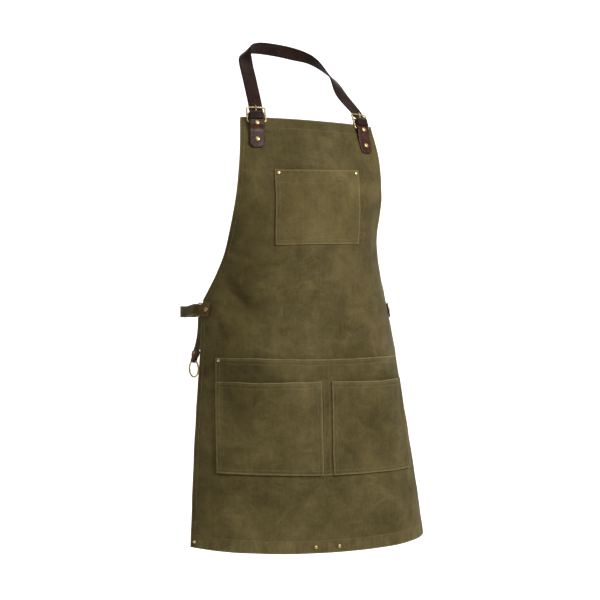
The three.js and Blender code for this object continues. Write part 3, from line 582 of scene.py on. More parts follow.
def band_piece(node, kind, slot, points, faces, widths, thickness, material, corner=1.0):
    """A flat strap with rounded edges along a path; faces is the way its outer side looks."""
    widths = np.broadcast_to(np.asarray(widths, float), len(points))
    run = run_along(points)
    edge = thickness / 2
    near_end = np.concatenate([[0, END_EASES * edge, edge], corner * (1 - np.cos(CORNER_TURNS))])
    at = np.unique(np.round(np.concatenate([run, near_end, run[-1] - near_end]), 3))
    points, faces = resampled(at, run, points), resampled(at, run, faces)
    along = unit(np.gradient(points, at, axis=0))
    across = unit(np.cross(faces, along))
    out = np.cross(along, across)
    from_end = np.minimum(at, at[-1] - at)
    short = np.clip(corner - from_end, 0, corner)
    half = np.interp(at, run, widths) / 2 - corner + np.sqrt(corner ** 2 - short ** 2)
    thin = np.clip(1 - from_end / edge, 0, 1)
    rise = edge * np.sqrt(1 - END_THINS * thin ** 2)
    flat = half - edge
    side = [(flat + edge * math.cos(a), rise * math.sin(a)) for a in EDGE_TURNS]
    top = side + [(flat * s, rise) for s in FLAT_SHARES] + [(-a, b) for a, b in side[::-1]]
    ring = top + [(a, -b) for a, b in top[-2:0:-1]]
    verts = np.stack([points + across * a[:, None] + out * b[:, None] for a, b in ring], axis=1)
    size = len(ring)
    last = (len(at) - 1) * size
    cap = [list(dict.fromkeys((j, j + 1, size - j - 1, (size - j) % size))) for j in range(len(top) - 1)]
    skin = tube_sides(len(at), size) + [face[::-1] for face in cap]
    skin += [[last + k for k in face] for face in cap]
    sideways = np.stack([a for a, b in ring], axis=1)
    lengthways = np.broadcast_to(at[:, None], sideways.shape)
    place = np.stack([lengthways, sideways, 0 * sideways], axis=-1) * MM
    to_end = np.broadcast_to(from_end[:, None], sideways.shape)
    seam = np.stack([half[:, None] - np.abs(sideways), to_end, to_end], axis=-1)
    outer = np.tile(np.arange(size) < len(top), len(at))
    add_piece(node, kind, slot, verts.reshape(-1, 3), skin, material,
              cloth=place.reshape(-1, 3), seam=seam.reshape(-1, 3), outer=outer)


def folded_piece(node, slot, layers, bar, out, onward, bore, taper, leather, material, corner):
    """Leather laid along its front layer, round a bar and back along the layer behind."""
    front, behind = layers
    turns = np.linspace(0, math.pi, FOLD_STEPS + 2)[1:-1, None]
    ways = out * np.cos(turns) + onward * np.sin(turns)
    points = np.vstack([front, bar + ways * (bore + leather / 2), behind[::-1]])
    looks = np.vstack([np.tile(out, (len(front), 1)), ways, np.tile(-out, (len(behind), 1))])
    widths = np.concatenate([taper, np.full(FOLD_STEPS, taper[-1]), taper[::-1]])
    band_piece(node, "leather", slot, points, looks, widths, leather, material, corner)


def wire_mesh(path, normal, radius, closed=True, squareness=1.0, sides=12):
    """Points and faces of a wire in a plane with that normal. squareness under 1 gives flatter sides."""
    path = np.asarray(path, float)
    ahead = np.roll(path, -1, axis=0) - np.roll(path, 1, axis=0) if closed else np.gradient(path, axis=0)
    normal = np.broadcast_to(unit(normal), path.shape)
    aside = np.cross(unit(ahead), normal)
    turns = np.arange(sides) * 2 * math.pi / sides
    shape = [np.sign(f(turns)) * np.abs(f(turns)) ** squareness * radius for f in (np.cos, np.sin)]
    points = path[:, None] + aside[:, None] * shape[0][:, None] + normal[:, None] * shape[1][:, None]
    faces = tube_sides(len(path), sides, True) if closed else tube_faces(len(path), sides)
    return points.reshape(-1, 3), [face[::-1] for face in faces]


def join(*meshes):
    """One list of points and faces from several."""
    points, faces = [], []
    for some_points, some_faces in meshes:
        start = sum(len(p) for p in points)
        points.append(some_points)
        faces += [[start + k for k in face] for face in some_faces]
    return np.vstack(points), faces


def rounded_rectangle(width, height, radius, corner_steps=6, side_steps=5):
    """Points round a rectangle in a plane, anticlockwise."""
    w, h = width / 2 - radius, height / 2 - radius
    corners = np.array([(w, h), (-w, h), (-w, -h), (w, -h)])
    shares = np.arange(1, side_steps)[:, None] / side_steps
    result = []
    for k, (here, there) in enumerate(zip(corners, np.roll(corners, -1, axis=0))):
        turns = math.pi / 2 * (k + np.arange(corner_steps + 1) / corner_steps)
        arc = here + radius * np.stack([np.cos(turns), np.sin(turns)], axis=1)
        result += [arc, arc[-1] + (there - here) * shares]
    return np.vstack(result)


def lathe(profile, origin, axis, aside, sides=28):
    """A turned solid: rows of radius and height along axis, closed at both ends."""
    axis, aside = unit(axis), unit(aside)
    turns = np.arange(sides)[:, None] * 2 * math.pi / sides
    spokes = np.cos(turns) * aside + np.sin(turns) * np.cross(axis, aside)
    points = [origin + axis * height + spokes * radius for radius, height in profile]
    return np.vstack(points), tube_faces(len(profile), sides)


# Materials

class Look:
    """A procedural material: its tree, its shader and short names for the nodes."""

    def __init__(self, name):
        self.material = bpy.data.materials.new(name)
        self.material.use_nodes = True
        self.tree = self.material.node_tree
        self.tree.nodes.clear()
        self.shader = self.node("ShaderNodeBsdfPrincipled")
        self.node("ShaderNodeOutputMaterial", {"Surface": self.shader.outputs["BSDF"]})

    def feed(self, socket, value):
        if isinstance(value, bpy.types.NodeSocket):
            self.tree.links.new(value, socket)
        else:
            socket.default_value = value

    def node(self, kind, values=None, **settings):
        made = self.tree.nodes.new(kind)
        for key, value in settings.items():
            setattr(made, key, value)
        for socket, value in (values or {}).items():
            self.feed(made.inputs[socket], value)
        return made

    def set(self, socket, value):
        self.feed(self.shader.inputs[socket], value)

    def field(self, name):
        return self.node("ShaderNodeAttribute", attribute_name=name).outputs["Vector"]

    def own_place(self):
        return self.node("ShaderNodeTexCoord").outputs["Object"]

    def stretched(self, vector, x, y):
        return self.node("ShaderNodeMapping", {"Vector": vector, "Scale": (x, y, 1)}).outputs["Vector"]

    def noise(self, vector, scale=1.0, detail=4.0, roughness=0.55, distortion=0.0):
        return self.node("ShaderNodeTexNoise", {
            "Vector": vector, "Scale": scale, "Detail": detail, "Roughness": roughness,
            "Distortion": distortion,
        }).outputs["Fac"]

    def ranged(self, value, low, high, to_low=0.0, to_high=1.0):
        return self.node("ShaderNodeMapRange", {
            "Value": value, "From Min": low, "From Max": high, "To Min": to_low, "To Max": to_high,
        }, interpolation_type="SMOOTHSTEP").outputs["Result"]

    def math(self, operation, *values):
        return self.node("ShaderNodeMath", dict(enumerate(values)), operation=operation).outputs["Value"]

    def mixed(self, factor, first, second):
        return self.node("ShaderNodeMix", {0: factor, 6: first, 7: second}, data_type="RGBA").outputs[2]

    def bump(self, height, distance, strength, under=None):
        values = {"Height": height, "Distance": distance, "Strength": strength}
        if under is not None:
            values["Normal"] = under
        normal = self.node("ShaderNodeBump", values).outputs["Normal"]
        self.set("Normal", normal)
        return normal

    def split(self, vector):
        return self.node("ShaderNodeSeparateXYZ", {"Vector": vector}).outputs


def linear(red, green, blue):
    """A colour read as it shows on a screen, 0 to 255."""
    shares = [value / 255 for value in (red, green, blue)]
    return (*(s / 12.92 if s <= 0.04045 else ((s + 0.055) / 1.055) ** 2.4 for s in shares), 1.0)


# Canvas
CANVAS_DARK = linear(68, 57, 30)
CANVAS_MID = linear(97, 85, 48)
CANVAS_LIGHT = linear(126, 111, 67)
CANVAS_RUBBED = linear(154, 137, 91)
CANVAS_ROUGHNESS = (0.8, 0.64)
CLOUD_RANGE = (0.3, 0.7)
TONE_SHARES = (0.38, 0.34, 0.12, 0.22)
TONE_STOPS = (0.36, 0.53, 0.70)
CRACK_SCALES = (14, 31)
CRACK_WIDTH = 0.036
CRACK_RUB = 0.11
WORN_RANGE = (0.46, 0.64)
PUCKER_RANGE = (0.36, 0.64)
PUCKER_RUB = (0.0, 0.22)
HEM_FADES = (-6, 2)
SEAM_REACH = (0.2, 2.4)
SEAM_BREAKS = (0.34, 0.6, 0.2, 1.0)
SEAM_RUB = 0.22
EDGE_REACH = (0.3, 3.0)
EDGE_BREAKS = (0.3, 0.6, 0.6, 1.0)
EDGE_RUB = 0.68
CHEST_TINT = 0.062
BACK_TINT = -0.025


def canvas_material(name, seams, tint=0.0, hem=0):
    """Waxed canvas: cloudy wax, faint upright streaks, weave, and seams and edges rubbed light.

    seams has, for each of the seam field's three distances, those of the sewn lines in millimetres. tint
    lightens the whole. hem is the height of the doubled cloth along the foot, which puckers."""
    look = Look(name)
    place = look.field("cloth")
    cloud = look.noise(place, scale=9, detail=5, distortion=0.3)
    mottle = look.noise(look.stretched(place, 27, 30), detail=6, roughness=0.66, distortion=0.5)
    streak = look.noise(look.stretched(place, 170, 26), roughness=0.6)
    grain = look.noise(place, scale=210, roughness=0.75)
    tone = tint
    for layer, share in zip((cloud, mottle, streak, grain), TONE_SHARES):
        tone = look.math("MULTIPLY_ADD", layer, share, tone)
    ramp = look.node("ShaderNodeValToRGB", {"Fac": tone})
    dark, light = ramp.color_ramp.elements
    dark.position, dark.color = TONE_STOPS[0], CANVAS_DARK
    light.position, light.color = TONE_STOPS[2], CANVAS_LIGHT
    ramp.color_ramp.elements.new(TONE_STOPS[1]).color = CANVAS_MID
    colour = ramp.outputs["Color"]
    distances = look.split(look.field("seam"))
    rub, sewn = 0.0, 0.0
    for distance, lines in zip(distances, seams):
        rub = look.math("MAXIMUM", rub, look.ranged(distance, *EDGE_REACH, 1, 0))
        for line in lines:
            off = look.math("ABSOLUTE", look.math("SUBTRACT", distance, line))
            sewn = look.math("MAXIMUM", sewn, look.ranged(off, *SEAM_REACH, 1, 0))
    worn = look.ranged(look.noise(place, scale=14, detail=3), *WORN_RANGE)
    sideways = look.stretched(place, 0.6, 1.2)
    for scale in CRACK_SCALES:
        line = look.noise(sideways, scale, detail=2, roughness=0.5, distortion=0.25)
        line = look.math("ABSOLUTE", look.math("SUBTRACT", line, 0.5))
        crack = look.math("MULTIPLY", look.ranged(line, 0, CRACK_WIDTH, CRACK_RUB, 0), worn)
        colour = look.mixed(crack, colour, CANVAS_RUBBED)
    uneven = look.noise(place, scale=75, roughness=0.6)
    for wear, breaks, share in ((sewn, SEAM_BREAKS, SEAM_RUB), (rub, EDGE_BREAKS, EDGE_RUB)):
        broken = look.math("MULTIPLY", wear, look.ranged(uneven, *breaks))
        colour = look.mixed(look.math("MULTIPLY", broken, share), colour, CANVAS_RUBBED)
    soft = look.bump(mottle, distance=0.0016, strength=0.5)
    if hem:
        doubled = look.ranged(distances[2], hem + HEM_FADES[0], hem + HEM_FADES[1], 1, 0)
        pucker = look.noise(look.stretched(place, 95, 16), detail=3, roughness=0.6)
        lighter = look.math("MULTIPLY", doubled, look.ranged(pucker, *PUCKER_RANGE, *PUCKER_RUB))
        colour = look.mixed(lighter, colour, CANVAS_RUBBED)
        soft = look.bump(look.math("MULTIPLY", doubled, pucker), distance=0.002, strength=0.7, under=soft)
    look.set("Base Color", colour)
    look.set("Roughness", look.ranged(cloud, *CLOUD_RANGE, *CANVAS_ROUGHNESS))
    look.set("Specular IOR Level", 0.2)
    thread = {"Vector": place, "Scale": 250, "Distortion": 0.6}
    warp, weft = (look.node("ShaderNodeTexWave", thread, bands_direction=way).outputs["Fac"] for way in "XY")
    sunk = look.bump(sewn, distance=-0.0005, strength=0.8, under=soft)
    look.bump(look.math("MAXIMUM", warp, weft), distance=0.00022, strength=0.4, under=sunk)
    return look.material


# Leather
BURNISHED = linear(20, 12, 10)
DYE_SHARE = 0.65
DYE_RANGE = (0.36, 0.66)
BURNISH_REACH = (0.1, 1.7)
BURNISH_SHARE = 0.85
SHEEN_SPREAD = (0.09, -0.06)
FLESH_ROUGHNESS = 0.78


def leather_material(name, dark, light, edge_colour, roughness, specular):
    """Strap leather: smooth outside with a fine grain, dull inside, cloudy dye and darker burnished edges."""
    look = Look(name)
    place = look.field("cloth")
    dye = look.noise(place, scale=42, detail=6, roughness=0.6, distortion=0.5)
    scuff = look.noise(look.stretched(place, 30, 240), roughness=0.65)
    tone = look.math("MULTIPLY_ADD", scuff, 1 - DYE_SHARE, look.math("MULTIPLY", dye, DYE_SHARE))
    colour = look.mixed(look.ranged(tone, *DYE_RANGE), dark, light)
    to_side, to_end, _ = look.split(look.field("seam"))
    near = look.math("MINIMUM", to_side, to_end)
    colour = look.mixed(look.ranged(near, *BURNISH_REACH, BURNISH_SHARE, 0), colour, edge_colour)
    look.set("Base Color", colour)
    outer = look.split(look.field("outer"))[0]
    sheen = look.ranged(tone, *CLOUD_RANGE, *(roughness + spread for spread in SHEEN_SPREAD))
    look.set("Roughness", look.ranged(outer, 0, 1, FLESH_ROUGHNESS, sheen))
    look.set("Specular IOR Level", specular)
    pores = look.node("ShaderNodeTexVoronoi", {"Vector": place, "Scale": 720}).outputs["Distance"]
    grain = look.bump(pores, distance=0.00025, strength=0.12)
    look.bump(dye, distance=0.0012, strength=0.35, under=grain)
    return look.material


# Brass, thread and the stage
BRASS_COLOURS = (linear(216, 184, 120), linear(250, 232, 184))
BRASS_ROUGHNESS = (0.46, 0.3)
THREAD_COLOURS = (linear(104, 93, 57), linear(138, 125, 82))
THREAD_ROUGHNESS = (0.8, 0.66)
STAGE_COLOURS = (linear(214, 214, 213), linear(218, 218, 218))
GLOW_DEPTH = (0.3, 1.0)
GLOW_ASIDE = (1.3, 4.0)
GLOW = 1.0


def brass_material():
    """Aged brass: warm, cloudy, with fine rubbing."""
    look = Look("aged_brass")
    place = look.own_place()
    cloud = look.noise(place, scale=160, detail=5, roughness=0.65)
    look.set("Base Color", look.mixed(look.ranged(cloud, 0.36, 0.66), *BRASS_COLOURS))
    look.set("Metallic", 1.0)
    look.set("Roughness", look.ranged(cloud, *CLOUD_RANGE, *BRASS_ROUGHNESS))
    look.bump(look.noise(place, scale=900, detail=3, roughness=0.6), distance=0.0001, strength=0.3)
    return look.material


def thread_material():
    """Waxed sewing thread with a twisted ply."""
    look = Look("sewing_thread")
    ply = look.noise(look.own_place(), scale=700, detail=3, roughness=0.6)
    look.set("Base Color", look.mixed(look.ranged(ply, 0.35, 0.65), *THREAD_COLOURS))
    look.set("Roughness", look.ranged(ply, *CLOUD_RANGE, *THREAD_ROUGHNESS))
    look.bump(ply, distance=0.0002, strength=0.4)
    return look.material


def stage_material():
    """A pale stage that glows behind the apron."""
    look = Look("pale_stage")
    place = look.own_place()
    look.set("Base Color", look.mixed(look.noise(place, scale=0.6), *STAGE_COLOURS))
    look.set("Roughness", 0.9)
    look.set("Emission Color", (1, 1, 1, 1))
    depth, aside = (look.node("ShaderNodeVectorMath", {0: place, 1: tuple(way)},
                              operation="DOT_PRODUCT").outputs["Value"] for way in (VIEW, VIEW_RIGHT))
    middle = look.ranged(look.math("ABSOLUTE", aside), *GLOW_ASIDE, GLOW, 0)
    look.set("Emission Strength", look.math("MULTIPLY", look.ranged(depth, *GLOW_DEPTH), middle))
    return look.material


CENTRE_LINES = (*DOUBLE_SEAM, LOWER_OUTER - CENTRE_SEAM)
PANEL_CANVAS = canvas_material("panel_canvas", ((SIDE_HEM,), (BIB_HEM,), (BOTTOM_HEM,)), hem=BOTTOM_HEM)
CHEST_CANVAS = canvas_material("chest_pocket_canvas", (DOUBLE_SEAM, (CHEST_HEM,), DOUBLE_SEAM), CHEST_TINT)
BACK_CANVAS = canvas_material("back_pocket_canvas", (CENTRE_LINES, POCKET_HEM, DOUBLE_SEAM), BACK_TINT)
LOWER_CANVAS = canvas_material("lower_pocket_canvas", (DOUBLE_SEAM, POCKET_HEM, DOUBLE_SEAM))
STRAP_MATERIAL = canvas_material("strap_canvas", ((STRAP_SEAM,), (STRAP_SEAM,), ()))
STRAP_LEATHER = leather_material("strap_leather", linear(34, 19, 14), linear(60, 37, 28), BURNISHED, 0.4, 0.2)
TAB_LEATHER = leather_material("tab_leather", linear(54, 31, 21), linear(90, 56, 39), BURNISHED, 0.32, 0.3)
BROWN_LEATHER = leather_material(
    "brown_leather", linear(100, 73, 38), linear(138, 103, 58), linear(60, 42, 26), 0.55, 0.35)
BRASS = brass_material()
THREAD = thread_material()


# Stitches: short threads along a line on a surface

STITCH_STEPS = np.array([-1, -0.62, 0, 0.62, 1]) * STITCH_LENGTH / 2
STITCH_GIRTH = np.array([0.25, 0.85, 1, 0.85, 0.25]) * STITCH_RADIUS
STITCH_LIFT = STITCH_RADIUS * 0.3
STITCH_SIDES = 5
STITCH_FACES = tube_faces(len(STITCH_STEPS), STITCH_SIDES)
stitch_points, stitch_faces = [], []


def add_stitches(line, normals):
    """Lays stitches along a fine line of points, with the surface's normals there."""
    run = run_along(line)
    spots = np.arange(STITCH_PITCH / 2, run[-1], STITCH_PITCH)
    centre = resampled(spots, run, line)
    along = unit(resampled(spots, run, unit(np.gradient(line, run, axis=0))))
    out = unit(resampled(spots, run, normals))
    aside = unit(np.cross(along, out))
    points = np.stack([
        centre + along * step + (aside * math.cos(a) + out * math.sin(a)) * girth
        for step, girth in zip(STITCH_STEPS, STITCH_GIRTH)
        for a in np.arange(STITCH_SIDES) * 2 * math.pi / STITCH_SIDES
    ], axis=1)
    size = points.shape[1]
    start = sum(len(p) for p in stitch_points)
    for base in range(start, start + len(points) * size, size):
        stitch_faces.extend([base + k for k in face] for face in STITCH_FACES)
    stitch_points.append(points.reshape(-1, 3))


def sew(u, z, lift):
    """A seam along places on the cloth. lift is the outer face's height there."""
    u, z = np.broadcast_arrays(np.asarray(u, float), np.asarray(z, float))
    lift = np.broadcast_to(np.asarray(lift, float), u.shape)
    add_stitches(on_cloth(u, z, lift + STITCH_LIFT), cloth_frame(u, z)[2])


# Canvas panel

def body_panel():
    bib, skirt = np.linspace(0, 1, BIB_ROWS + 1), np.linspace(0, 1, SKIRT_ROWS + 1)[1:]
    share = np.linspace(-1, 1, PANEL_COLUMNS + 1)
    share = lerp(share, np.sin(share * math.pi / 2), EDGE_CROWDING)[None, :]
    bib_z = lerp(BIB_TOP, ARMHOLE_END, bib)[:, None]
    skirt_z = lerp(ARMHOLE_END, HEM_SIDE, skirt)[:, None]
    u = np.vstack([share * half_width(bib_z), share * half_width(skirt_z)])
    z = np.vstack([
        bib_z - BIB_LEAN * share * (1 - bib)[:, None],
        lerp(ARMHOLE_END, hem_height(u[BIB_ROWS + 1:]), skirt[:, None]),
    ])
    to_side = half_width(np.minimum(z, BIB_TOP)) - np.abs(u)
    seams = (to_side, bib_height(u) - z, z - hem_height(u))
    piece = sheet_piece("body_panel", u, z, 0 * u, 0 * u + CANVAS, seams, PANEL_CANVAS)
    flat_area(u, z)


def panel_seams():
    top = np.linspace(-1, 1, TOP_POINTS) * (BIB_HALF - SIDE_HEM)
    sew(top, bib_height(top) - BIB_HEM, CANVAS)
    foot = np.linspace(-1, 1, FOOT_POINTS) * (HEM_HALF - SIDE_HEM)
    sew(foot, hem_height(foot) + BOTTOM_HEM, CANVAS)
    z = np.linspace(BIB_TOP - SIDE_HEM, HEM_SIDE + SIDE_HEM, SIDE_POINTS)
    for sign in SIDES.values():
        sew(sign * (half_width(z) - SIDE_HEM), z, CANVAS)


# Pockets

def mouth_height(u, left, right, sizes):
    """Top edge of a pocket, which sags where it stands open."""
    share = (u - left) / (right - left)
    return sizes["top"] + sizes["rise"] * share - sizes["sag"] * np.sin(math.pi * share)


def pocket(node, left, right, sizes, foot, face, hems, material):
    """A pocket's cloth with double seams down the sides and along the foot and hems below its mouth."""
    columns = int((right - left) / POCKET_CELL)
    u = np.linspace(left, right, columns + 1)[None, :]
    depth = sizes["top"] - foot(u).min()
    q = np.linspace(0, 1, int(depth / POCKET_CELL) + 1)[:, None]
    mouth = mouth_height(u, left, right, sizes)
    z = lerp(mouth, foot(u), q)
    u = np.broadcast_to(u, z.shape)
    inner = face(u, z)
    seams = (np.minimum(u - left, right - u), mouth - z, z - foot(u))
    piece = sheet_piece(node, u, z, inner, inner + CANVAS, seams, material)
    flat_area(u, z)

    def sew_on(u, z):
        sew(u, z, face(u + 0 * z, z) + CANVAS)

    for inset in DOUBLE_SEAM:
        for side in (left + inset, right - inset):
            top, end = mouth_height(side, left, right, sizes) - SEAM_START, foot(np.array(side)) + SEAM_END
            sew_on(side, np.linspace(top, end, POCKET_SIDE_POINTS))
        u = np.linspace(left + inset, right - inset, POCKET_POINTS)
        sew_on(u, foot(u) + inset)
    for below in hems:
        u = np.linspace(left + SEAM_START, right - SEAM_START, POCKET_POINTS)
        sew_on(u, mouth_height(u, left, right, sizes) - below)


def pockets():
    pocket("chest_pocket", CHEST["from"], CHEST["to"], CHEST, chest_foot, chest_face,
           (CHEST_EDGE, CHEST_HEM), CHEST_CANVAS)
    pocket("lower_pocket_back", -LOWER_OUTER, LOWER_OUTER, BACK, lower_foot, back_face,
           POCKET_HEM, BACK_CANVAS)
    z = np.linspace(BACK["top"] - BACK["sag"] - SEAM_START, LOWER_BOTTOM + SEAM_END, CENTRE_POINTS)
    for u in (-CENTRE_SEAM, CENTRE_SEAM):
        sew(u, z, back_face(u + 0 * z, z) + CANVAS)
    for side, sign in SIDES.items():
        left, right = sorted((sign * FRONT["inner"], sign * LOWER_OUTER))
        pocket(f"lower_pocket_{side}", left, right, FRONT, lower_foot, front_face, POCKET_HEM, LOWER_CANVAS)


# Rivets: a domed cap with a rim in front and a flat cap behind

# Shares of the back cap's radius and thickness, then of the front cap's radius with heights on its face
BACK_PROFILE = ((0.4, 1), (0.86, 1), (1, 0.6), (1, 0))
RIM_PROFILE = ((0.94, 0), (1, 0.25), (0.98, 0.5))
RIM_HEIGHT = 0.5
DOME_TURNS = np.radians([76, 62, 48, 34, 20, 8])


def rivet(node, origin, out, aside, cap, front, back):
    profile = [(BACK_CAP_RADIUS * share, back - BACK_CAP * deep) for share, deep in BACK_PROFILE]
    profile += [(SHANK, back), (SHANK, front)]
    profile += [(cap * share, front + height) for share, height in RIM_PROFILE]
    profile += [(cap * math.sin(a), front + lerp(RIM_HEIGHT, CAP_RISE, math.cos(a))) for a in DOME_TURNS]
    add_piece(node, "turned", "brass", *lathe(profile, origin, out, aside), BRASS)


def cloth_rivet(node, u, z, cap, outer, inner):
    place = cloth_place(u, z, 0)
    rivet(node, place.origin, place.out, place.across, cap, outer + LAYER_GAP, inner - LAYER_GAP)


def rivets():
    for side, sign in SIDES.items():
        for k, z in enumerate(TAB_RIVET_Z):
            t = (z - TAB_BAR_Z) / tab_place(sign).up[2]
            cloth_rivet(f"neck_tab_rivet_{side}_{k + 1}", tab_spot(sign, t)[0], z, TAB_CAP,
                        tab_front(t) + LEATHER, TAB_BACK_LIFT - LEATHER)
        u = CHEST["from" if sign < 0 else "to"] - sign * POCKET_RIVET_IN
        z = CHEST["top"] + CHEST["rise"] * chest_share(u) - POCKET_RIVET_IN
        cloth_rivet(f"chest_pocket_rivet_{side}", u, z, POCKET_CAP, POCKET_RIVET_FACE, 0)
        cloth_rivet(f"lower_pocket_rivet_{side}", sign * (LOWER_OUTER - POCKET_RIVET_IN),
                    BACK["top"] - LOWER_RIVET_DOWN, POCKET_CAP, POCKET_RIVET_FACE, 0)
        cloth_rivet(f"waist_patch_rivet_{side}", sign * (half_width(WAIST_Z) - PATCH_RIVET_IN), WAIST_Z,
                    PATCH_CAP, CANVAS + PATCH_CLEAR + LEATHER, -PATCH_CLEAR - LEATHER)
        for name, u in ((f"hem_rivet_{side}", sign * (HEM_HALF - HEM_RIVET_IN)),
                        (f"hem_rivet_mid_{side}", HEM_RIVET_MID[side])):
            cloth_rivet(name, u, hem_height(u) + HEM_RIVET_UP, POCKET_CAP, CANVAS, 0)


# Neck tabs: leather folded round the buckle's middle bar, with the canvas between its layers

def tab_place(sign):
    return cloth_place(sign * TAB_U, TAB_BAR_Z, TAB_BAR_LIFT)


def tab_spot(sign, t):
    """Where the tab's middle line meets the cloth, t up from the bar."""
    place = tab_place(sign)
    z = TAB_BAR_Z + t * place.up[2]
    return place.u - (cloth(place.u, z) - place.origin) @ place.across, z


def tab_front(t):
    upper, lower = (z - TAB_BAR_Z for z in TAB_RIVET_Z)
    swell = np.sin(math.pi * np.clip((t - lower) / (upper - lower), 0, 1)) ** 2
    rising = smoothstep(t, -TAB_RESTS_BELOW, -TAB_LEAVES_BELOW)
    return lerp(CANVAS + BAR_CLEAR, TAB_BAR_LIFT + BAR_BORE, rising) + TAB_SWELL * swell


def tab_back(t):
    return lerp(TAB_BACK_LIFT, TAB_BAR_LIFT - BAR_BORE, smoothstep(t, -TAB_FOLD_OPENS, 0))


def neck_tab(side, sign):
    place = tab_place(sign)
    steps = np.linspace((TAB_END_Z - TAB_BAR_Z) / place.up[2], 0, TAB_STEPS)
    u, z = tab_spot(sign, steps)
    lifts = (tab_front(steps) + LEATHER / 2, tab_back(steps) - LEATHER / 2)
    folded_piece(f"neck_tab_{side}", "leather", [on_cloth(u, z, lift) for lift in lifts], place.origin,
                 place.out, place.up, BAR_BORE, np.full(TAB_STEPS, TAB_WIDTH), LEATHER, TAB_LEATHER,
                 TAB_END_RADIUS)


def buckle(side, sign):
    place = tab_place(sign)
    across, up, out, origin = place.across, place.up, place.out, place.origin
    outline = rounded_rectangle(BUCKLE_WIDTH - WIRE, BUCKLE_HEIGHT - WIRE, BUCKLE_CORNER - WIRE / 2)
    loop = origin + outline[:, :1] * across + outline[:, 1:] * up
    bar = origin + np.linspace(-0.5, 0.5, BAR_STEPS)[:, None] * (BUCKLE_WIDTH - WIRE) * across
    add_piece(f"buckle_{side}", "frame", "brass", *join(
        wire_mesh(loop, out, WIRE / 2, squareness=0.72, sides=16),
        wire_mesh(bar, out, WIRE / 2 * BAR_SHARE, closed=False, sides=14),
    ), BRASS)
    eye_looks = up * np.cos(PRONG_EYE) + out * np.sin(PRONG_EYE)
    eye = origin + eye_looks * (BAR_BORE - GAP + PRONG_THICK / 2)
    reach = np.linspace(PRONG_ARM_FROM, BAR_PITCH + WIRE, PRONG_ARM_STEPS)[:, None]
    arm = origin + up * reach + out * (WIRE / 2 + GAP + PRONG_THICK / 2)
    looks = np.vstack([eye_looks, np.tile(out, (len(arm), 1))])
    widths = np.concatenate([np.ones(len(eye)), np.linspace(1, PRONG_TIP, len(arm))]) * PRONG_WIDTH
    band_piece(f"prong_{side}", "bent", "brass", np.vstack([eye, arm]), looks, widths, PRONG_THICK, BRASS,
               PRONG_CORNER)


# Neck strap: behind the top bar, out through the upper window, over the fold

def buckle_run(sign):
    place = tab_place(sign)
    clear = BAR_CLEAR + LEATHER / 2
    over_bar, over_fold = WIRE / 2 + clear, BAR_BORE + LEATHER + clear
    slope = math.asin((over_bar + over_fold) / BAR_PITCH)

    def station(t, k, a):
        return place.origin + place.up * t + place.out * k, place.up * math.sin(a) + place.out * math.cos(a)

    run = [station(t, over_fold, 0) for t in np.linspace(-STRAP_TAIL, 0, TAIL_STEPS)[:-1]]
    angles = slope * np.linspace(0, 1, BEND_STEPS)
    run += [station(over_fold * math.sin(a), over_fold * math.cos(a), a) for a in angles]
    run += [station(BAR_PITCH - over_bar * math.sin(a), -over_bar * math.cos(a), a) for a in angles[::-1]]
    run.append(station(BAR_PITCH + WIRE, -over_bar, 0))
    return np.array(run)


def neck_strap():
    right, left = buckle_run(-1), buckle_run(1)[::-1]
    route = [(row[:3], unit(row[3:])) for row in NECK_ROUTE]
    knots = np.concatenate([right[-2:], np.array(route, float), left[:2]])
    first = 1 / (len(knots) - 1)
    places = lerp(first, 1 - first, np.linspace(0, 1, NECK_STEPS + 1)[1:-1])
    path = spline(knots[:, 0], places, 0.5)
    looks = unit(spline(knots[:, 1], places, 0))
    points = np.vstack([right[:, 0], path, left[:, 0]])
    faces = np.vstack([right[:, 1], looks, left[:, 1]])
    band_piece("neck_strap", "leather", "leather", points, faces, NECK_STRAP_WIDTH, LEATHER, STRAP_LEATHER,
               STRAP_CORNER)


# Waist patches, loops and strap

def waist_place(sign):
    place = cloth_place(sign * (half_width(WAIST_Z) + PATCH_BAR_OUT), WAIST_Z, PATCH_BAR_LIFT)
    place.back = place.across * sign
    return place


def patch_lift(t, face):
    resting = CANVAS + PATCH_CLEAR if face > 0 else -PATCH_CLEAR
    return lerp(resting, PATCH_BAR_LIFT + face * PATCH_BORE, smoothstep(t, -PATCH_FOLD_OPENS, 0))


def waist_patch(side, sign):
    place = waist_place(sign)
    steps = np.linspace(-PATCH_REACH - PATCH_BAR_OUT, 0, PATCH_STEPS)
    u = place.u + sign * steps
    layers = [on_cloth(u, WAIST_Z + 0 * u, patch_lift(steps, face) + face * LEATHER / 2) for face in (1, -1)]
    taper = lerp(PATCH_HEIGHT, PATCH_NECK, smoothstep(steps, -PATCH_TAPER_FROM, -PATCH_TAPER_TO))
    folded_piece(f"waist_patch_{side}", "patch_leather", layers, place.origin, place.out, place.back,
                 PATCH_BORE, taper, LEATHER, BROWN_LEATHER, PATCH_CORNER)
    outline = rounded_rectangle(WAIST_RING_LENGTH, WAIST_RING_HEIGHT - RING_BAR, WAIST_RING_CORNER)
    middle = place.origin + place.back * WAIST_RING_LENGTH / 2
    loop = middle + outline[:, :1] * place.back + outline[:, 1:] * place.up
    wire = wire_mesh(loop, place.out, RING_BAR / 2)
    add_piece(f"waist_ring_{side}", "wire", "brass", *wire, BRASS)


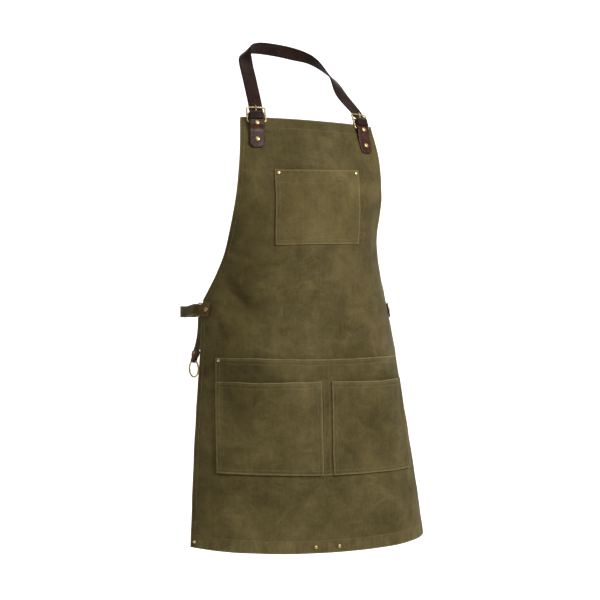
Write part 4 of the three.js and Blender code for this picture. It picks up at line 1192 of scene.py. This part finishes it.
def waist_half(sign):
    place = waist_place(sign)
    back, out = place.back, place.out
    bar = place.origin + back * WAIST_RING_LENGTH
    round_bar = RING_BAR / 2 + LAYER_GAP + STRAP_CANVAS / 2
    half, rear, corner = WAIST_LOOP["half"], WAIST_LOOP["back"], WAIST_LOOP["corner"]

    def knot(x, y):
        return np.array([sign * x, y, WAIST_Z - WAIST_LOOP["drop"]])

    start = bar + out * round_bar
    knots = [start, start + back * WAIST_LEAD, knot(half - HIP["inset"], HIP["y"])]
    for a in np.linspace(0, math.pi / 2, WAIST_CORNER_KNOTS):
        knots.append(knot(half - corner + corner * math.cos(a), rear - corner + corner * math.sin(a)))
    knots += [knot((half - corner) / 2, rear), knot(0, rear)]
    fine = spline(knots, np.linspace(0, 1, WAIST_FINE_STEPS), 0.5)
    run = run_along(fine)
    at = np.linspace(0, run[-1], WAIST_STEPS + 1)
    path = resampled(at, run, fine)
    upright = unit(lerp(place.up, UP, smoothstep(at, 0, 2 * WAIST_TAIL)[:, None]))
    looks = unit(np.cross(unit(np.gradient(path, axis=0)), upright) * sign)
    tail_count = int(round(WAIST_TAIL / at[1])) + 1
    apart = lerp(2 * round_bar, STRAP_CANVAS + GAP, smoothstep(at[:tail_count], 0, WAIST_TAIL / 2))
    tail = (path[:tail_count] - looks[:tail_count] * apart[:, None])[::-1]
    turns = np.linspace(0, math.pi, WAIST_TURN_STEPS)[1:-1, None]
    ways = -out * np.cos(turns) - back * np.sin(turns)
    points = np.vstack([tail, bar + ways * round_bar, path])
    return points, np.vstack([-looks[:tail_count][::-1], ways, looks])


def strap_seams(points, faces, width, thickness):
    along = unit(np.gradient(points, axis=0))
    across = unit(np.cross(faces, along))
    out = np.cross(along, across)
    face = points + out * (thickness / 2 + STITCH_LIFT)
    for sign in SIDES.values():
        add_stitches(face + across * sign * (width / 2 - STRAP_SEAM), out)


def waist_strap():
    points, faces = (np.vstack([right, left[-2::-1]]) for right, left in zip(waist_half(-1), waist_half(1)))
    sizes = (WAIST_STRAP_WIDTH, STRAP_CANVAS)
    band_piece("waist_strap", "canvas", "webbing", points, faces, *sizes, STRAP_MATERIAL)
    strap_seams(points, faces, *sizes)


# Hanging strap, its leather end and the ring

TURN = math.radians(RING_TURN)
LEAN = math.radians(HANGER_LEAN)
RING_ACROSS = np.array([-math.cos(TURN), math.sin(TURN), 0])
RING_OUT = np.array([-math.sin(TURN), -math.cos(TURN), 0])
HANGER_UP = UP * math.cos(LEAN) - RING_OUT * math.sin(LEAN)
HANGER_OUT = RING_OUT * math.cos(LEAN) + UP * math.sin(LEAN)


def hanger_strap():
    sewn = np.array([HANGER_TOP_Z, (HANGER_TOP_Z + HANGER_FREE_Z) / 2, HANGER_FREE_Z], float)
    u = np.full(len(sewn), float(HANGER_U))
    held = np.array(HANGER_HELD)[:, None] * HANGER_END_TOP
    knots = np.vstack([on_cloth(u, sewn, HANGER_LIFT + 0 * u), RING_PIVOT + held * HANGER_UP])
    looks = np.vstack([cloth_frame(u, sewn)[2], np.tile(HANGER_OUT, (len(held), 1))])
    places = np.linspace(0, 1, HANGER_STEPS)
    points, faces = spline(knots, places, 0.5), unit(spline(looks, places, 0))
    sizes = (HANGER_WIDTH, HANGER_THICK)
    band_piece("hanger_strap", "canvas", "webbing", points, faces, *sizes, STRAP_MATERIAL)
    strap_seams(points[:HANGER_SEWN], faces[:HANGER_SEWN], *sizes)


def hanger_end():
    steps = np.linspace(-HANGER_END_TOP, 0, HANGER_END_STEPS)
    lift = lerp(HANGER_THICK / 2 + GAP, HANGER_END_BORE, smoothstep(steps, -HANGER_END_TOP / 2, 0))
    lift = (lift + HANGER_END_LEATHER / 2)[:, None] * HANGER_OUT
    line = RING_PIVOT - steps[:, None] * HANGER_UP
    taper = lerp(HANGER_WIDTH, HANGER_END_NECK, smoothstep(steps, -HANGER_END_TAPER, -HANGER_END_BORE))
    folded_piece("hanger_end", "leather", (line + lift, line - lift), RING_PIVOT, HANGER_OUT, -HANGER_UP,
                 HANGER_END_BORE, taper, HANGER_END_LEATHER, BROWN_LEATHER, HANGER_END_CORNER)
    face = HANGER_THICK / 2 + HANGER_END_LEATHER + 2 * GAP
    rivet("hanger_rivet", RING_PIVOT + HANGER_UP * HANGER_RIVET_UP, HANGER_OUT, RING_ACROSS, HANGER_CAP,
          face, -face)


def hanger_ring():
    turns = np.arange(RING_STEPS)[:, None] * 2 * math.pi / RING_STEPS
    spokes = RING_ACROSS * np.cos(turns) + UP * np.sin(turns)
    loop = RING_PIVOT - UP * RING_RADIUS + spokes * RING_RADIUS
    wire = wire_mesh(loop, np.cross(RING_ACROSS, UP), RING_WIRE, sides=14)
    add_piece("hanger_ring", "wire", "brass", *wire, BRASS, body="ring")


# Stage, lights and camera, in metres

FLOOR_Z = -1.3
STAGE_NEAR = -6.0
STAGE_BACK = 2.6
STAGE_BEND = 1.6
STAGE_BEND_STEPS = 16
STAGE_WALL = 4.5
STAGE_HALF = 8.0
APRON_MIDDLE = np.array([0.0, -0.1, -0.5])
SKIRT_MIDDLE = np.array([0.0, -0.1, -0.9])
RIGHT_TAB = np.array([-0.11, -0.15, -0.18])
LIGHTS = [
    # name, target, and from there: beyond, right and up as the camera sees it; then size and watts
    ("key", APRON_MIDDLE, -1.6, 2.1, 1.4, 0.9, 55),
    ("fill", SKIRT_MIDDLE, -1.4, -1.5, -0.02, 0.7, 2.9),
    ("glint", RIGHT_TAB, -1.8207, 0.6482, 1.742, 0.3, 7),
    ("top", APRON_MIDDLE, 0.2, 0, 2.4, 1.8, 7),
    ("back", APRON_MIDDLE, 1.6, 1.8, 0.9, 1.2, 4),
]
WORLD_COLOUR = (1, 0.98, 0.94, 1)
WORLD_STRENGTH = 0.13


def stage():
    """A pale floor that turns up into a wall behind the apron, square to the camera."""
    turns = np.linspace(0, math.pi / 2, STAGE_BEND_STEPS)
    bend = [(STAGE_BACK - STAGE_BEND * (1 - math.sin(a)), STAGE_BEND * (1 - math.cos(a))) for a in turns]
    profile = [(STAGE_NEAR, 0), *bend, (STAGE_BACK, STAGE_WALL)]
    points = [VIEW * depth + VIEW_RIGHT * side + UP * (FLOOR_Z + height)
              for depth, height in profile for side in (-STAGE_HALF, STAGE_HALF)]
    faces = quads(np.arange(len(points)).reshape(-1, 2))
    add_mesh("floor", points, faces, stage_material())


def lights():
    for name, target, beyond, right, up, size, watts in LIGHTS:
        data = bpy.data.lights.new(name, "AREA")
        data.shape, data.size, data.energy = "DISK", size, watts
        light = add_object(name, data)
        away = VIEW * beyond + VIEW_RIGHT * right + UP * up
        light.location = Vector(target + away)
        light.rotation_euler = Vector(-away).to_track_quat("-Z", "Y").to_euler()
    world = bpy.data.worlds.new("studio")
    world.use_nodes = True
    background = world.node_tree.nodes["Background"]
    background.inputs["Color"].default_value = WORLD_COLOUR
    background.inputs["Strength"].default_value = WORLD_STRENGTH
    bpy.context.scene.world = world


def camera():
    data = bpy.data.cameras.new("camera")
    data.lens, data.sensor_width, data.shift_y = CAMERA_LENS, CAMERA_SENSOR, CAMERA_SHIFT
    made = add_object("camera", data)
    made.location = Vector(to_frame(np.array([0, 0, CAMERA_HEIGHT]) - VIEW * CAMERA_DISTANCE))
    made.rotation_euler = Vector(VIEW).to_track_quat("-Z", "Y").to_euler()
    bpy.context.scene.camera = made
    bpy.context.scene.view_settings.view_transform = "Standard"


body_panel()
panel_seams()
pockets()
for side_name, side_sign in SIDES.items():
    neck_tab(side_name, side_sign)
    buckle(side_name, side_sign)
    waist_patch(side_name, side_sign)
neck_strap()
waist_strap()
hanger_strap()
hanger_end()
hanger_ring()
rivets()
stitching = add_mesh("stitching", to_frame(np.vstack(stitch_points)), stitch_faces, THREAD)
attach(stitching, "apron")
stage()
lights()
camera()
